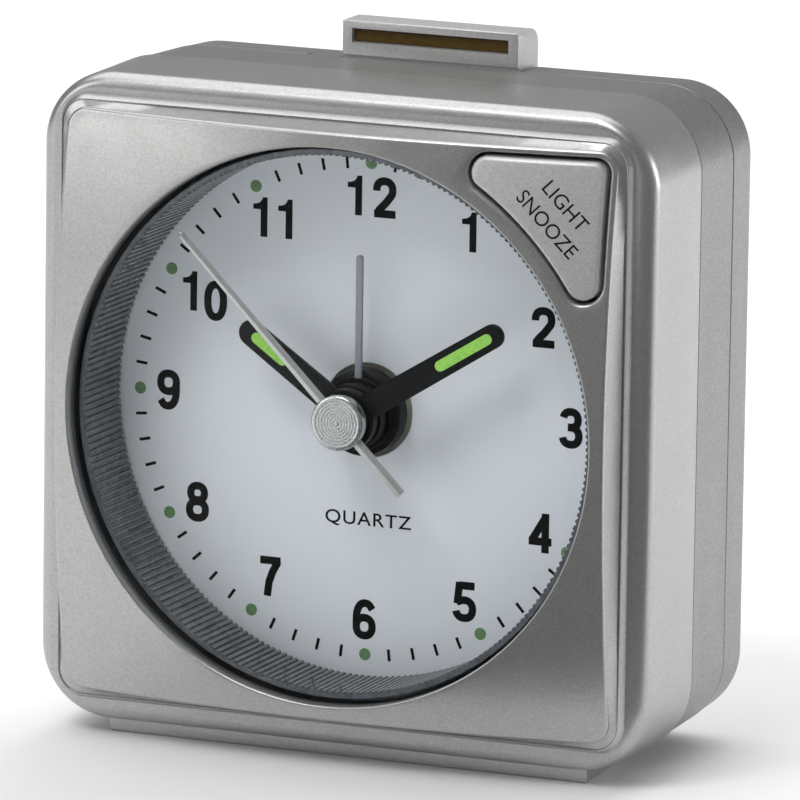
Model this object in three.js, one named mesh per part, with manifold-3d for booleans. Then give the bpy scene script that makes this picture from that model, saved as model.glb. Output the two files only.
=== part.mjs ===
// A travel alarm clock: three-piece square case, domed face, deep dial behind a clear lens, quartz movement,
// one AA cell. Millimetres, +Z up. The clock is drawn with the dial's axis along +Y through the origin and the
// lens's rim in the plane y = 0, then stood on z = 0 with the middle of its depth at y = 0.

import * as THREE from 'three';
import { mergeVertices } from 'three/addons/utils/BufferGeometryUtils.js';
import Module from 'manifold-3d';

const wasm = await Module();
wasm.setup();

// ---------------------------------------------------------------- driving dimensions

const GAP = 0.3; // between pieces that rest on each other
const RUN = 0.12; // radial clearance of a turning shaft
const PRESS = 0.06; // radial clearance drawn at a press fit

const CASE = {
    half: 29.0, corner: 6.8, wall: 1.6, draft: 0.15,
    ledgeY: 3.66, ledgeCorner: 4.4, edgeRound: 1.35, backY: 28.8, backRound: 2.0,
};
const SEAM = { front: 14.2, rear: 22.5 };
const PANEL = { halfFront: 25.87, halfBack: 26.1, corner: 1.9, baseY: 2.85, rimHalf: 27.07, rimCorner: 2.7 };
const DOME = { radius: 131, thick: 1.6 };
const OPENING_R = 24.54;
const AXIS_HEIGHT = 30.2; // dial axis above the table
const KNOB = { x: 13.5, r: 4.0, y0: 29.1, y1: 31.2, ribs: 24 };
const DIAL = { y: 9.56, thick: 0.5, r: 25.0, hole: 4.2 };
const CARRIER = { y0: 10.36, y1: 11.56, half: 27.0, corner: 4.8 };
const SNOOZE = {
    arcR: 25.95, right: 25.2, top: 25.25, corner: 1.4, end: 1.7,
    gap: 0.3, proud: 0.22, travel: 0.9,
};
const BAR = {
    x: -0.3, half: 8.4, y0: 22.85, y1: 27.55,
    top: 31.87, bottom: 26.0, travel: 2.2, backRound: 1.5,
};
const BOX = { half: 17.0, bottom: -10.2, top: 17.0, wall: 1.0, front: 11.86, plate: 1.04, back: 22.4 };
const CELL = { r: 7.1, y: 19.6, z: -19.5, x0: -24.4, x1: 25.0, nub: 1.0 };
const DOOR = { halfX: 25.9, bottom: -26.0, top: -12.4, y0: 27.3, corner: 4.0 };
const SCREW = { x: 23.4, z: 8.2, headR: 1.9, shankR: 1.0 };

// the four nested pipes of the hands: inner and outer radius
const PIPE = { second: 0.35, minute: [0.48, 0.9], hour: [1.03, 1.5], alarm: [1.63, 2.15] };

// hands: angle clockwise from twelve in degrees, front and back of the blade
const HAND = {
    alarm: { angle: 0, y0: 7.15, y1: 7.6 },
    hour: { angle: 304.8, y0: 5.6, y1: 6.0 },
    minute: { angle: 58.0, y0: 4.35, y1: 4.75 },
    second: { angle: 315.0, y0: 3.15, y1: 3.4 },
};

// gear layers along the dial axis, front to back
const LAYER = {
    alarm: [13.3, 14.1],
    hour: [14.5, 15.3],
    motion: [15.8, 16.6],
    centre: [17.2, 17.9],
    seconds: [18.4, 19.1],
    third: [19.45, 20.1],
    fifth: [20.45, 21.1],
};
const TEETH = {
    alarm: 36, idler: 24, alarmSet: 12,
    hour: 36, motionPinion: 9, motion: 36, cannon: 12, timeSet: 12,
    centre: 45, thirdPinion: 6, third: 48, secondsPinion: 6,
    seconds: 30, fifthPinion: 6, fifth: 36, rotorPinion: 6,
};
const TRAIN = {
    centreDistance: 7.2, fifthDistance: 5.4, rotorDistance: 6.3,
    idlerDistance: 9.0, idlerToKnob: 5.4,
};
const ROUND = 40; // facets on a visible round
const SMALL = 16; // facets on a small shaft

// ---------------------------------------------------------------- materials

function finish(color, roughness, metalness = 0) {
    return new THREE.MeshStandardMaterial({ color, roughness, metalness });
}

const SILVER = finish(0xb9bab8, 0.4, 0.6);
const CLEAR = new THREE.MeshStandardMaterial({
    color: 0xdfe6ea, roughness: 0.05, transparent: true, opacity: 0.3,
});
const DIAL_WHITE = finish(0xd9dce4, 0.6);
const BLACK = finish(0x111311, 0.45);
const GREY = finish(0x8d9098, 0.4, 0.4);
const STEEL = finish(0xc9cac8, 0.25, 1.0);
const BRASS = finish(0xc59d4b, 0.3, 1.0);
const NYLON = finish(0xece9df, 0.5);
const BOARD = finish(0x2f6b3a, 0.6);
const COPPER = finish(0xb5683a, 0.35, 1.0);
const AMBER = finish(0x5c4718, 0.5);
const CELL_SKIN = finish(0x3c5a86, 0.35, 0.3);

// ---------------------------------------------------------------- solids

/** A manifold from a closed geometry, turned right side out. */
function solid(geometry) {
    const bare = geometry.clone();
    bare.deleteAttribute('normal');
    bare.deleteAttribute('uv');
    const merged = mergeVertices(bare, 1e-4);
    const spots = merged.attributes.position;
    const index = merged.index.array;
    const kept = [];
    let volume = 0;
    const [a, b, c] = [new THREE.Vector3(), new THREE.Vector3(), new THREE.Vector3()];
    for (let i = 0; i < index.length; i += 3) {
        const [p, q, r] = [index[i], index[i + 1], index[i + 2]];
        if (p === q || q === r || r === p) continue;
        kept.push(p, q, r);
        a.fromBufferAttribute(spots, p);
        b.fromBufferAttribute(spots, q);
        c.fromBufferAttribute(spots, r);
        volume += a.dot(b.cross(c)) / 6;
    }
    if (volume < 0) {
        for (let i = 0; i < kept.length; i += 3) [kept[i + 1], kept[i + 2]] = [kept[i + 2], kept[i + 1]];
    }
    return new wasm.Manifold(new wasm.Mesh({
        numProp: 3,
        vertProperties: new Float32Array(spots.array),
        triVerts: new Uint32Array(kept),
    }));
}

/** A geometry from a manifold. */
function geometryOf(manifold) {
    const mesh = manifold.getMesh();
    const geometry = new THREE.BufferGeometry();
    geometry.setAttribute('position', new THREE.BufferAttribute(new Float32Array(mesh.vertProperties), 3));
    geometry.setIndex(new THREE.BufferAttribute(new Uint32Array(mesh.triVerts), 1));
    geometry.computeVertexNormals();
    return geometry;
}

function join(first, ...rest) {
    return rest.reduce((whole, piece) => whole.add(piece), first);
}

function cut(first, ...rest) {
    return rest.reduce((whole, piece) => whole.subtract(piece), first);
}

function block(x0, x1, y0, y1, z0, z1) {
    const box = new THREE.BoxGeometry(x1 - x0, y1 - y0, z1 - z0);
    box.translate((x0 + x1) / 2, (y0 + y1) / 2, (z0 + z1) / 2);
    return solid(box);
}

/** A shape drawn in (x, z), filled from y0 back to y1. */
function slab(shape, y0, y1, curveSegments = 8) {
    const made = new THREE.ExtrudeGeometry(shape, { depth: y1 - y0, bevelEnabled: false, curveSegments });
    made.rotateX(Math.PI / 2);
    made.translate(0, y1, 0);
    return solid(made);
}

/** A solid of revolution about the dial's axis from a closed profile of [radius, y] points. */
function turned(profile, segments = ROUND) {
    const points = [...profile, profile[0]].map(([r, y]) => new THREE.Vector2(r, y));
    return solid(new THREE.LatheGeometry(points, segments));
}

function disc(y0, y1, r, segments = ROUND) {
    return turned([[0, y0], [r, y0], [r, y1], [0, y1]], segments);
}

function ring(y0, y1, inner, outer, segments = ROUND) {
    return turned([[inner, y0], [outer, y0], [outer, y1], [inner, y1]], segments);
}

/** A round pin or hole along Y at (x, z). */
function pin(x, z, y0, y1, r, segments = SMALL) {
    return disc(y0, y1, r, segments).translate([x, 0, z]);
}

/** Points round a square of that half-width with round corners, in (x, z). */
function squarePoints(half, corner, steps = 5) {
    const points = [];
    for (let quarter = 0; quarter < 4; quarter++) {
        const turn = quarter * Math.PI / 2;
        const cx = (half - corner) * Math.SQRT2 * Math.cos(turn + Math.PI / 4);
        const cz = (half - corner) * Math.SQRT2 * Math.sin(turn + Math.PI / 4);
        for (let i = 0; i <= steps; i++) {
            const angle = turn + (i / steps) * Math.PI / 2;
            points.push([cx + corner * Math.cos(angle), cz + corner * Math.sin(angle)]);
        }
    }
    return points;
}

/** A solid through square sections [y, half, corner], front to back, with flat ends. */
function squareLoft(sections) {
    const rings = sections.map(([y, half, corner]) => squarePoints(half, corner).map(([x, z]) => [x, y, z]));
    const count = rings[0].length;
    const positions = rings.flat(2);
    const index = [];
    for (let s = 0; s < rings.length - 1; s++) {
        for (let i = 0; i < count; i++) {
            const [a, b] = [s * count + i, s * count + (i + 1) % count];
            index.push(a, b, b + count, a, b + count, a + count);
        }
    }
    const last = (rings.length - 1) * count;
    for (let i = 1; i < count - 1; i++) {
        index.push(0, i + 1, i);
        index.push(last, last + i, last + i + 1);
    }
    const geometry = new THREE.BufferGeometry();
    geometry.setAttribute('position', new THREE.Float32BufferAttribute(positions, 3));
    geometry.setIndex(index);
    return solid(geometry);
}

// ---------------------------------------------------------------- placing

const clock = new THREE.Group();
clock.position.set(0, -KNOB.y1 / 2, AXIS_HEIGHT);

/** Adds a named piece, turned clockwise about the dial's axis by degrees, then moved to (x, z). */
function place(name, manifold, material, { x = 0, z = 0, angle = 0 } = {}) {
    const mesh = new THREE.Mesh(geometryOf(manifold), material);
    mesh.name = name;
    mesh.position.set(x, 0, z);
    mesh.rotation.y = THREE.MathUtils.degToRad(angle);
    clock.add(mesh);
}

// ---------------------------------------------------------------- case

/** Depth of the domed face behind the rim plane at a radius from the dial's axis. */
function domeY(r) {
    return (r * r - OPENING_R * OPENING_R) / (2 * DOME.radius);
}

/** Everything behind the domed face, moved back by an offset, down to y1. */
function domeBody(offset, y1) {
    const reach = PANEL.halfBack * Math.SQRT2 + 1;
    const radii = [0, OPENING_R, 29, reach];
    const profile = radii.map((r) => [r, domeY(r) + offset]);
    profile.push([reach, y1], [0, y1]);
    return turned(profile, 56);
}

/** Outline of the snooze button's opening, drawn in by an inset. */
function snoozeOutline(inset) {
    const arcR = SNOOZE.arcR + inset;
    const right = SNOOZE.right - inset;
    const top = SNOOZE.top - inset;
    const corner = SNOOZE.corner - inset;
    const end = SNOOZE.end - inset;
    const leftX = Math.sqrt((arcR + end) ** 2 - (top - end) ** 2);
    const lowZ = Math.sqrt((arcR + end) ** 2 - (right - end) ** 2);
    const lowAngle = Math.atan2(lowZ, right - end);
    const leftAngle = Math.atan2(top - end, leftX);
    const shape = new THREE.Shape();
    shape.moveTo(leftX, top);
    shape.lineTo(right - corner, top);
    shape.absarc(right - corner, top - corner, corner, Math.PI / 2, 0, true);
    shape.lineTo(right, lowZ);
    shape.absarc(right - end, lowZ, end, 0, lowAngle - Math.PI, true);
    shape.absarc(0, 0, arcR, lowAngle, leftAngle, false);
    shape.absarc(leftX, top - end, end, leftAngle + Math.PI, Math.PI / 2, true);
    return shape;
}

function frontCase() {
    const rounding = [30, 60, 90].map((degrees) => {
        const t = THREE.MathUtils.degToRad(degrees);
        const y = CASE.ledgeY + CASE.edgeRound * (1 - Math.cos(t));
        const half = CASE.half - CASE.draft - CASE.edgeRound * (1 - Math.sin(t));
        return [y, half, CASE.ledgeCorner + (CASE.corner - CASE.draft - CASE.ledgeCorner) * Math.sin(t)];
    });
    const shell = squareLoft([
        [CASE.ledgeY, CASE.half - CASE.draft - CASE.edgeRound, CASE.ledgeCorner],
        ...rounding,
        [SEAM.front, CASE.half, CASE.corner],
    ]);
    const rim = squareLoft([
        [PANEL.baseY, PANEL.rimHalf, PANEL.rimCorner],
        [CASE.ledgeY + 1, PANEL.rimHalf, PANEL.rimCorner],
    ]);
    const prism = squareLoft([
        [-1, PANEL.halfFront - 0.1, PANEL.corner],
        [CASE.ledgeY + 1, PANEL.halfBack, PANEL.corner],
    ]);
    const panel = prism.intersect(domeBody(0, CASE.ledgeY + 1));
    const inner = CASE.half - CASE.wall;
    const hollow = squareLoft([
        [CASE.ledgeY + CASE.wall - 0.3, inner, CASE.corner - CASE.wall],
        [SEAM.front + 1, inner, CASE.corner - CASE.wall],
    ]);
    const panelHollow = squareLoft([
        [-1, PANEL.halfFront - 0.6, PANEL.corner],
        [SEAM.front, PANEL.halfFront - 0.6, PANEL.corner],
    ]).intersect(domeBody(DOME.thick, SEAM.front));
    return cut(
        join(shell, rim, panel),
        hollow,
        panelHollow,
        disc(-2, SEAM.front, OPENING_R, 64),
        slab(snoozeOutline(0), -2, SEAM.front, 10),
    );
}

function middleCase() {
    const outer = squareLoft([
        [SEAM.front + GAP, CASE.half - CASE.draft, CASE.corner - 0.1],
        [SEAM.rear, CASE.half - 0.36, CASE.corner - 0.2],
    ]);
    const inner = CASE.half - CASE.wall - 0.1;
    const hollow = squareLoft([[SEAM.front - 1, inner, 4.3], [SEAM.rear + 1, inner, 4.3]]);
    return cut(outer, hollow);
}

/** Outline of the battery door with round lower corners, grown by an amount. */
function doorOutline(grow) {
    const [half, low, high] = [DOOR.halfX + grow, DOOR.bottom - grow, DOOR.top + grow];
    const r = DOOR.corner + grow;
    const shape = new THREE.Shape();
    shape.moveTo(half, high);
    shape.lineTo(half, low + r);
    shape.absarc(half - r, low + r, r, 0, -Math.PI / 2, true);
    shape.lineTo(-half + r, low);
    shape.absarc(-half + r, low + r, r, -Math.PI / 2, -Math.PI, true);
    shape.lineTo(-half, high);
    return shape;
}

const SCREW_SPOTS = [[-1, -1], [1, -1], [-1, 1], [1, 1]].map(([sx, sz]) => [sx * SCREW.x, sz * SCREW.z]);
const BUZZER = { x: -16, z: 16.5, r: 8, y0: 24.6, y1: 26.6 };

function rearCover() {
    const front = SEAM.rear + GAP;
    const [half, corner] = [CASE.half - 0.42, CASE.corner - 0.25];
    const rounding = [0, 30, 60, 90].map((degrees) => {
        const t = THREE.MathUtils.degToRad(degrees);
        const shrink = CASE.backRound * (1 - Math.cos(t));
        const y = CASE.backY - CASE.backRound * (1 - Math.sin(t));
        return [y, half - CASE.draft - shrink, corner - CASE.draft - shrink];
    });
    const outer = squareLoft([[front, half, corner], ...rounding]);
    const inner = CASE.half - CASE.wall - 0.2;
    const floor = CASE.backY - CASE.wall;
    const hollow = squareLoft([[front - 1, inner, 4.2], [floor, inner, 4.2]]);
    const bosses = SCREW_SPOTS.map(([x, z]) => pin(x, z, 23.4, floor + 0.1, 2.9));
    const trough = block(-inner + 0.1, inner - 0.1, 13.0, floor + 0.1, -12.1, -11.2);
    const slots = [-2, -1, 0, 1, 2].map((i) => {
        const z = BUZZER.z + i * 2.2;
        return block(BUZZER.x - 4, BUZZER.x + 4, floor - 1, CASE.backY + 1, z - 0.45, z + 0.45);
    });
    const bores = SCREW_SPOTS.flatMap(([x, z]) => [
        pin(x, z, 20, CASE.backY + 1, SCREW.shankR + 0.3),
        pin(x, z, 26.4, CASE.backY + 1, SCREW.headR + 0.3),
    ]);
    const notchEnd = BAR.y1 + GAP;
    const notchHalf = BAR.half + GAP;
    const notchBottom = BAR.bottom - BAR.travel - GAP;
    return cut(
        join(cut(outer, hollow), ...bosses, trough),
        slab(doorOutline(GAP), 26, CASE.backY + 1),
        pin(-KNOB.x, 0, 26, CASE.backY + 1, 1.5),
        pin(KNOB.x, 0, 26, CASE.backY + 1, 1.5),
        block(BAR.x - notchHalf, BAR.x + notchHalf, front - 1, notchEnd, notchBottom, CASE.half + 2),
        block(-12, 12, front - 1, CASE.backY + 1, CASE.half - 0.45, CASE.half + 2),
        ...slots,
        ...bores,
    );
}

function caseParts() {
    place('front_case', frontCase(), SILVER);
    place('middle_case', middleCase(), SILVER);
    place('rear_cover', rearCover(), SILVER);
    place('battery_door', slab(doorOutline(0), DOOR.y0, CASE.backY), SILVER);

    const foot = new THREE.Shape();
    const [y0, y1, wide, narrow] = [5.64, 24.0, 22.7, 21.6];
    foot.moveTo(-wide, y0);
    foot.lineTo(wide, y0);
    foot.lineTo(narrow, y1);
    foot.lineTo(-narrow, y1);
    const depth = AXIS_HEIGHT - CASE.half - GAP;
    const plate = new THREE.ExtrudeGeometry(foot, { depth, bevelEnabled: false });
    plate.translate(0, 0, -AXIS_HEIGHT);
    place('base_foot', solid(plate), SILVER);

    SCREW_SPOTS.forEach(([x, z], i) => {
        const screw = join(disc(26.75, 27.9, SCREW.headR, SMALL), disc(15, 26.8, SCREW.shankR, 12));
        const slot = block(-SCREW.headR, SCREW.headR, 27.5, 29, -0.25, 0.25);
        place(`case_screw_${i + 1}`, cut(screw, slot), STEEL, { x, z });
    });
}

// ---------------------------------------------------------------- buttons

function buttons() {
    const inset = SNOOZE.gap;
    const cap = slab(snoozeOutline(inset), -2, 4.6, 10).intersect(domeBody(-SNOOZE.proud, 4.6));
    const stem = pin(21.2, 21.2, 4.5, 6.9, 1.8);
    place('snooze_button', join(cap, stem), SILVER);
    const dome = pin(21.2, 21.2, 6.9 + SNOOZE.travel + 0.1, 8.5, 1.4);
    place('snooze_switch', join(block(18.2, 24.2, 8.4, 10.06, 18.2, 24.2), dome), BLACK);

    const profile = new THREE.Shape(); // section of the bar in (y, z)
    profile.moveTo(BAR.y0, BAR.bottom);
    profile.lineTo(BAR.y1, BAR.bottom);
    profile.lineTo(BAR.y1, BAR.top - BAR.backRound);
    profile.absarc(BAR.y1 - BAR.backRound, BAR.top - BAR.backRound, BAR.backRound, 0, Math.PI / 2, false);
    profile.lineTo(BAR.y0, BAR.top);
    const depth = 2 * BAR.half;
    const body = new THREE.ExtrudeGeometry(profile, { depth, bevelEnabled: false, curveSegments: 6 });
    body.translate(0, 0, BAR.x - BAR.half);
    body.applyMatrix4(new THREE.Matrix4().makeBasis(
        new THREE.Vector3(0, 1, 0), new THREE.Vector3(0, 0, 1), new THREE.Vector3(1, 0, 0)));
    const stemDown = block(-2, 2, 24.4, 25.9, 20.5, BAR.bottom + 0.1);
    const recess = block(BAR.x - 7.45, BAR.x + 7.45, BAR.y0 - 1, BAR.y0 + 0.8, 29.9, 31.18);
    place('alarm_bar', cut(join(solid(body), stemDown), recess), SILVER);
    const stripe = block(BAR.x - 7.3, BAR.x + 7.3, BAR.y0 + 0.4, BAR.y0 + 0.65, 30.05, 31.03);
    place('alarm_stripe', stripe, AMBER);
    place('alarm_switch', block(2.6, 6.4, 24.3, 26.3, 14.5, 19.5), BLACK);
}

// ---------------------------------------------------------------- dial side

function dialSide() {
    const lens = turned([
        [0, 0.1], [OPENING_R - GAP, 0.1], [OPENING_R - GAP, 2.0], [24.9, 2.2], [24.9, 3.0],
        [23.4, 3.0], [23.4, 1.7], [0, 1.7],
    ], 64);
    place('lens', lens, CLEAR);
    place('light_ring', ring(3.3, DIAL.y - GAP, 23.6, 24.6, 64), CLEAR);
    place('dial_plate', ring(DIAL.y, DIAL.y + DIAL.thick, DIAL.hole, DIAL.r, 64), DIAL_WHITE);
    place('dial_nut', ring(7.9, DIAL.y - GAP, PIPE.alarm[1] + RUN, 3.85), BLACK);

    const plate = squareLoft([
        [CARRIER.y0, CARRIER.half, CARRIER.corner],
        [CARRIER.y1, CARRIER.half, CARRIER.corner],
    ]);
    const bosses = SCREW_SPOTS.map(([x, z]) => pin(x, z, CARRIER.y1 - 0.1, 22.8, 2.4));
    const bores = SCREW_SPOTS.map(([x, z]) => pin(x, z, 14, 23, SCREW.shankR + 0.15));
    place('dial_carrier', cut(join(plate, ...bosses), disc(9, 13, 4.6), ...bores), NYLON);

    const lamp = join(disc(0, 2.6, 1.5, SMALL), disc(-1.0, 0.1, 1.1, SMALL));
    const aim = lamp.rotate([0, 0, 90]).rotate([0, -135, 0]).translate([-19.6, 5.6, 19.6]);
    place('lamp', aim, CLEAR);
}

/** A hand's outline in (x, z): a tapered blade up the z axis with a round tip, joined to a hub disc. */
function blade(rootHalf, tipHalf, tipZ, tailZ = 0) {
    const shape = new THREE.Shape();
    shape.moveTo(-rootHalf, tailZ);
    shape.lineTo(rootHalf, tailZ);
    shape.lineTo(tipHalf, tipZ);
    shape.absarc(0, tipZ, tipHalf, 0, Math.PI, false);
    return shape;
}

function hands() {
    const { alarm, hour, minute, second } = HAND;
    const alarmHand = cut(
        join(slab(blade(0.3, 0.3, 13.8), alarm.y0, alarm.y0 + 0.3), disc(alarm.y0, alarm.y1, 3.35, 32)),
        disc(alarm.y0 - 1, alarm.y1 + 1, PIPE.alarm[1] + PRESS, SMALL),
    );
    place('alarm_hand', alarmHand, GREY, { angle: alarm.angle });
    const hourHand = cut(
        join(slab(blade(1.22, 1.15, 11.6), hour.y0, hour.y1), disc(hour.y0, hour.y1 + 0.85, 3.0, 32)),
        disc(hour.y0 - 1, hour.y1 + 1, PIPE.hour[1] + PRESS, SMALL),
    );
    place('hour_hand', hourHand, BLACK, { angle: hour.angle });
    const minuteHand = cut(
        join(
            slab(blade(1.15, 1.06, 16.14), minute.y0, minute.y1),
            disc(minute.y0 - 0.1, minute.y1 + 0.55, 2.75, 32),
        ),
        disc(minute.y0 - 1, minute.y1 + 1, PIPE.minute[1] + PRESS, SMALL),
    );
    place('minute_hand', minuteHand, BLACK, { angle: minute.angle });
    const secondHand = join(
        slab(blade(0.45, 0.28, 21.5, -8.3), second.y0, second.y1),
        disc(second.y0, second.y1 + 0.5, 2.35, 32),
    );
    const secondHole = disc(0, 9, PIPE.second + PRESS, SMALL);
    place('second_hand', cut(secondHand, secondHole), STEEL, { angle: second.angle });
    place('second_cap', disc(2.6, second.y0 - 0.1, 2.45, 32), STEEL);
}

// ---------------------------------------------------------------- gears

/** Where two circles about a and b cross, on the left of the way from a to b. */
function meet(a, b, ra, rb) {
    const [dx, dz] = [b.x - a.x, b.z - a.z];
    const d = Math.hypot(dx, dz);
    const along = (ra * ra - rb * rb + d * d) / (2 * d);
    const off = Math.sqrt(ra * ra - along * along);
    return { x: a.x + (along * dx - off * dz) / d, z: a.z + (along * dz + off * dx) / d };
}

function polar(from, distance, degrees) {
    const t = THREE.MathUtils.degToRad(degrees);
    return { x: from.x + distance * Math.cos(t), z: from.z + distance * Math.sin(t) };
}

const CENTRE = { x: 0, z: 0 };
const THIRD = polar(CENTRE, TRAIN.centreDistance, 135);
const FIFTH = polar(CENTRE, TRAIN.fifthDistance, 60);
const ROTOR = polar(FIFTH, TRAIN.rotorDistance, 60);
const TIME_SET = { x: KNOB.x, z: 0 };
const ALARM_SET = { x: -KNOB.x, z: 0 };
const MOTION = meet(TIME_SET, CENTRE, TRAIN.centreDistance, TRAIN.centreDistance);
const IDLER = meet(CENTRE, ALARM_SET, TRAIN.idlerDistance, TRAIN.idlerToKnob);

/** A toothed wheel: four points to a tooth, the first tooth's middle at an angle from +x. */
function toothed(teeth, pitchR, firstTooth, y0, y1) {
    const pitch = 2 * Math.PI / teeth;
    const unit = 2 * pitchR / teeth;
    const [root, tip] = [pitchR - 1.15 * unit, pitchR + 0.8 * unit];
    const [rootHalf, tipHalf] = [0.26 * pitch, 0.1 * pitch];
    const shape = new THREE.Shape();
    for (let i = 0; i < teeth; i++) {
        const middle = firstTooth + i * pitch;
        for (const [r, turn] of [[root, -rootHalf], [tip, -tipHalf], [tip, tipHalf], [root, rootHalf]]) {
            const [x, z] = [r * Math.cos(middle + turn), r * Math.sin(middle + turn)];
            if (i === 0 && r === root && turn < 0) shape.moveTo(x, z);
            else shape.lineTo(x, z);
        }
    }
    return slab(shape, y0, y1);
}

/** First-tooth angle that puts a gap of the driven gear opposite a tooth of the driver. */
function inMesh(driver, driven, driverTeeth, drivenTeeth, driverFirst) {
    const toward = Math.atan2(driven.z - driver.z, driven.x - driver.x);
    const offset = toward - driverFirst;
    return toward + Math.PI + offset * driverTeeth / drivenTeeth + Math.PI / drivenTeeth;
}

function distance(a, b) {
    return Math.hypot(a.x - b.x, a.z - b.z);
}

/** Pitch radius of a gear from its centre distance to its mate. */
function pitchRadius(a, b, teeth, mateTeeth) {
    return distance(a, b) * teeth / (teeth + mateTeeth);
}

const PIVOT = { r: 0.3, bore: 0.42, depth: 0.6 };

function setTrain() {
    const T = TEETH;
    const frontPivot = BOX.front + BOX.plate - PIVOT.depth + 0.1;

    const alarmWheel = join(
        toothed(T.alarm, pitchRadius(CENTRE, IDLER, T.alarm, T.idler), 0, ...LAYER.alarm),
        disc(HAND.alarm.y0 + 0.05, LAYER.alarm[1], PIPE.alarm[1], SMALL),
    );
    place('alarm_wheel', cut(alarmWheel, disc(0, 30, PIPE.alarm[0], SMALL)), NYLON);

    const idlerFirst = inMesh(CENTRE, IDLER, T.alarm, T.idler, 0);
    const idler = join(
        toothed(T.idler, pitchRadius(IDLER, CENTRE, T.idler, T.alarm), idlerFirst, ...LAYER.alarm),
        disc(frontPivot, 15.2, PIVOT.r, 12),
    );
    place('alarm_idler', idler, NYLON, IDLER);

    const alarmSetFirst = inMesh(IDLER, ALARM_SET, T.idler, T.alarmSet, idlerFirst);
    const alarmSetRadius = pitchRadius(ALARM_SET, IDLER, T.alarmSet, T.idler);
    const alarmSet = join(
        toothed(T.alarmSet, alarmSetRadius, alarmSetFirst, ...LAYER.alarm),
        disc(frontPivot, 13.4, PIVOT.r, 12),
        disc(14.0, KNOB.y0 + 1.2, 1.1, SMALL),
    );
    place('alarm_set_arbor', alarmSet, STEEL, ALARM_SET);

    const hourWheel = join(
        toothed(T.hour, pitchRadius(CENTRE, MOTION, T.hour, T.motionPinion), 0, ...LAYER.hour),
        disc(HAND.hour.y0 + 0.05, LAYER.hour[1], PIPE.hour[1], SMALL),
    );
    place('hour_wheel', cut(hourWheel, disc(0, 30, PIPE.hour[0], SMALL)), NYLON);

    const cannonR = pitchRadius(CENTRE, MOTION, T.cannon, T.motion);
    const cannon = join(
        toothed(T.cannon, cannonR, 0, LAYER.motion[0] - 0.1, LAYER.motion[1] + 0.1),
        disc(HAND.minute.y0 - 0.05, LAYER.centre[1] + 0.1, PIPE.minute[1], SMALL),
    );
    place('cannon_pinion', cut(cannon, disc(0, 30, PIPE.minute[0], SMALL)), BRASS);

    const motionFirst = inMesh(CENTRE, MOTION, T.cannon, T.motion, 0);
    const motionPinionFirst = inMesh(CENTRE, MOTION, T.hour, T.motionPinion, 0);
    const motion = join(
        toothed(T.motion, pitchRadius(MOTION, CENTRE, T.motion, T.cannon), motionFirst, ...LAYER.motion),
        toothed(T.motionPinion, pitchRadius(MOTION, CENTRE, T.motionPinion, T.hour), motionPinionFirst,
            LAYER.hour[0] - 0.1, LAYER.motion[0] + 0.05),
        disc(frontPivot, 17.0, PIVOT.r, 12),
    );
    place('motion_wheel', motion, NYLON, MOTION);

    const timeSetFirst = inMesh(MOTION, TIME_SET, T.motion, T.timeSet, motionFirst);
    const timeSet = join(
        toothed(T.timeSet, pitchRadius(TIME_SET, MOTION, T.timeSet, T.motion), timeSetFirst, ...LAYER.motion),
        disc(frontPivot, LAYER.motion[0] + 0.1, PIVOT.r, 12),
        disc(LAYER.motion[1] - 0.1, KNOB.y0 + 1.2, 1.1, SMALL),
    );
    place('time_set_arbor', timeSet, STEEL, TIME_SET);

    for (const [name, x] of [['time_knob', KNOB.x], ['alarm_knob', -KNOB.x]]) {
        const socket = disc(28, KNOB.y0 + 1.4, 1.25, SMALL);
        const knob = cut(toothed(KNOB.ribs, KNOB.r - 0.25, 0, KNOB.y0, KNOB.y1), socket);
        place(name, knob, BLACK, { x });
    }
}

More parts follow.
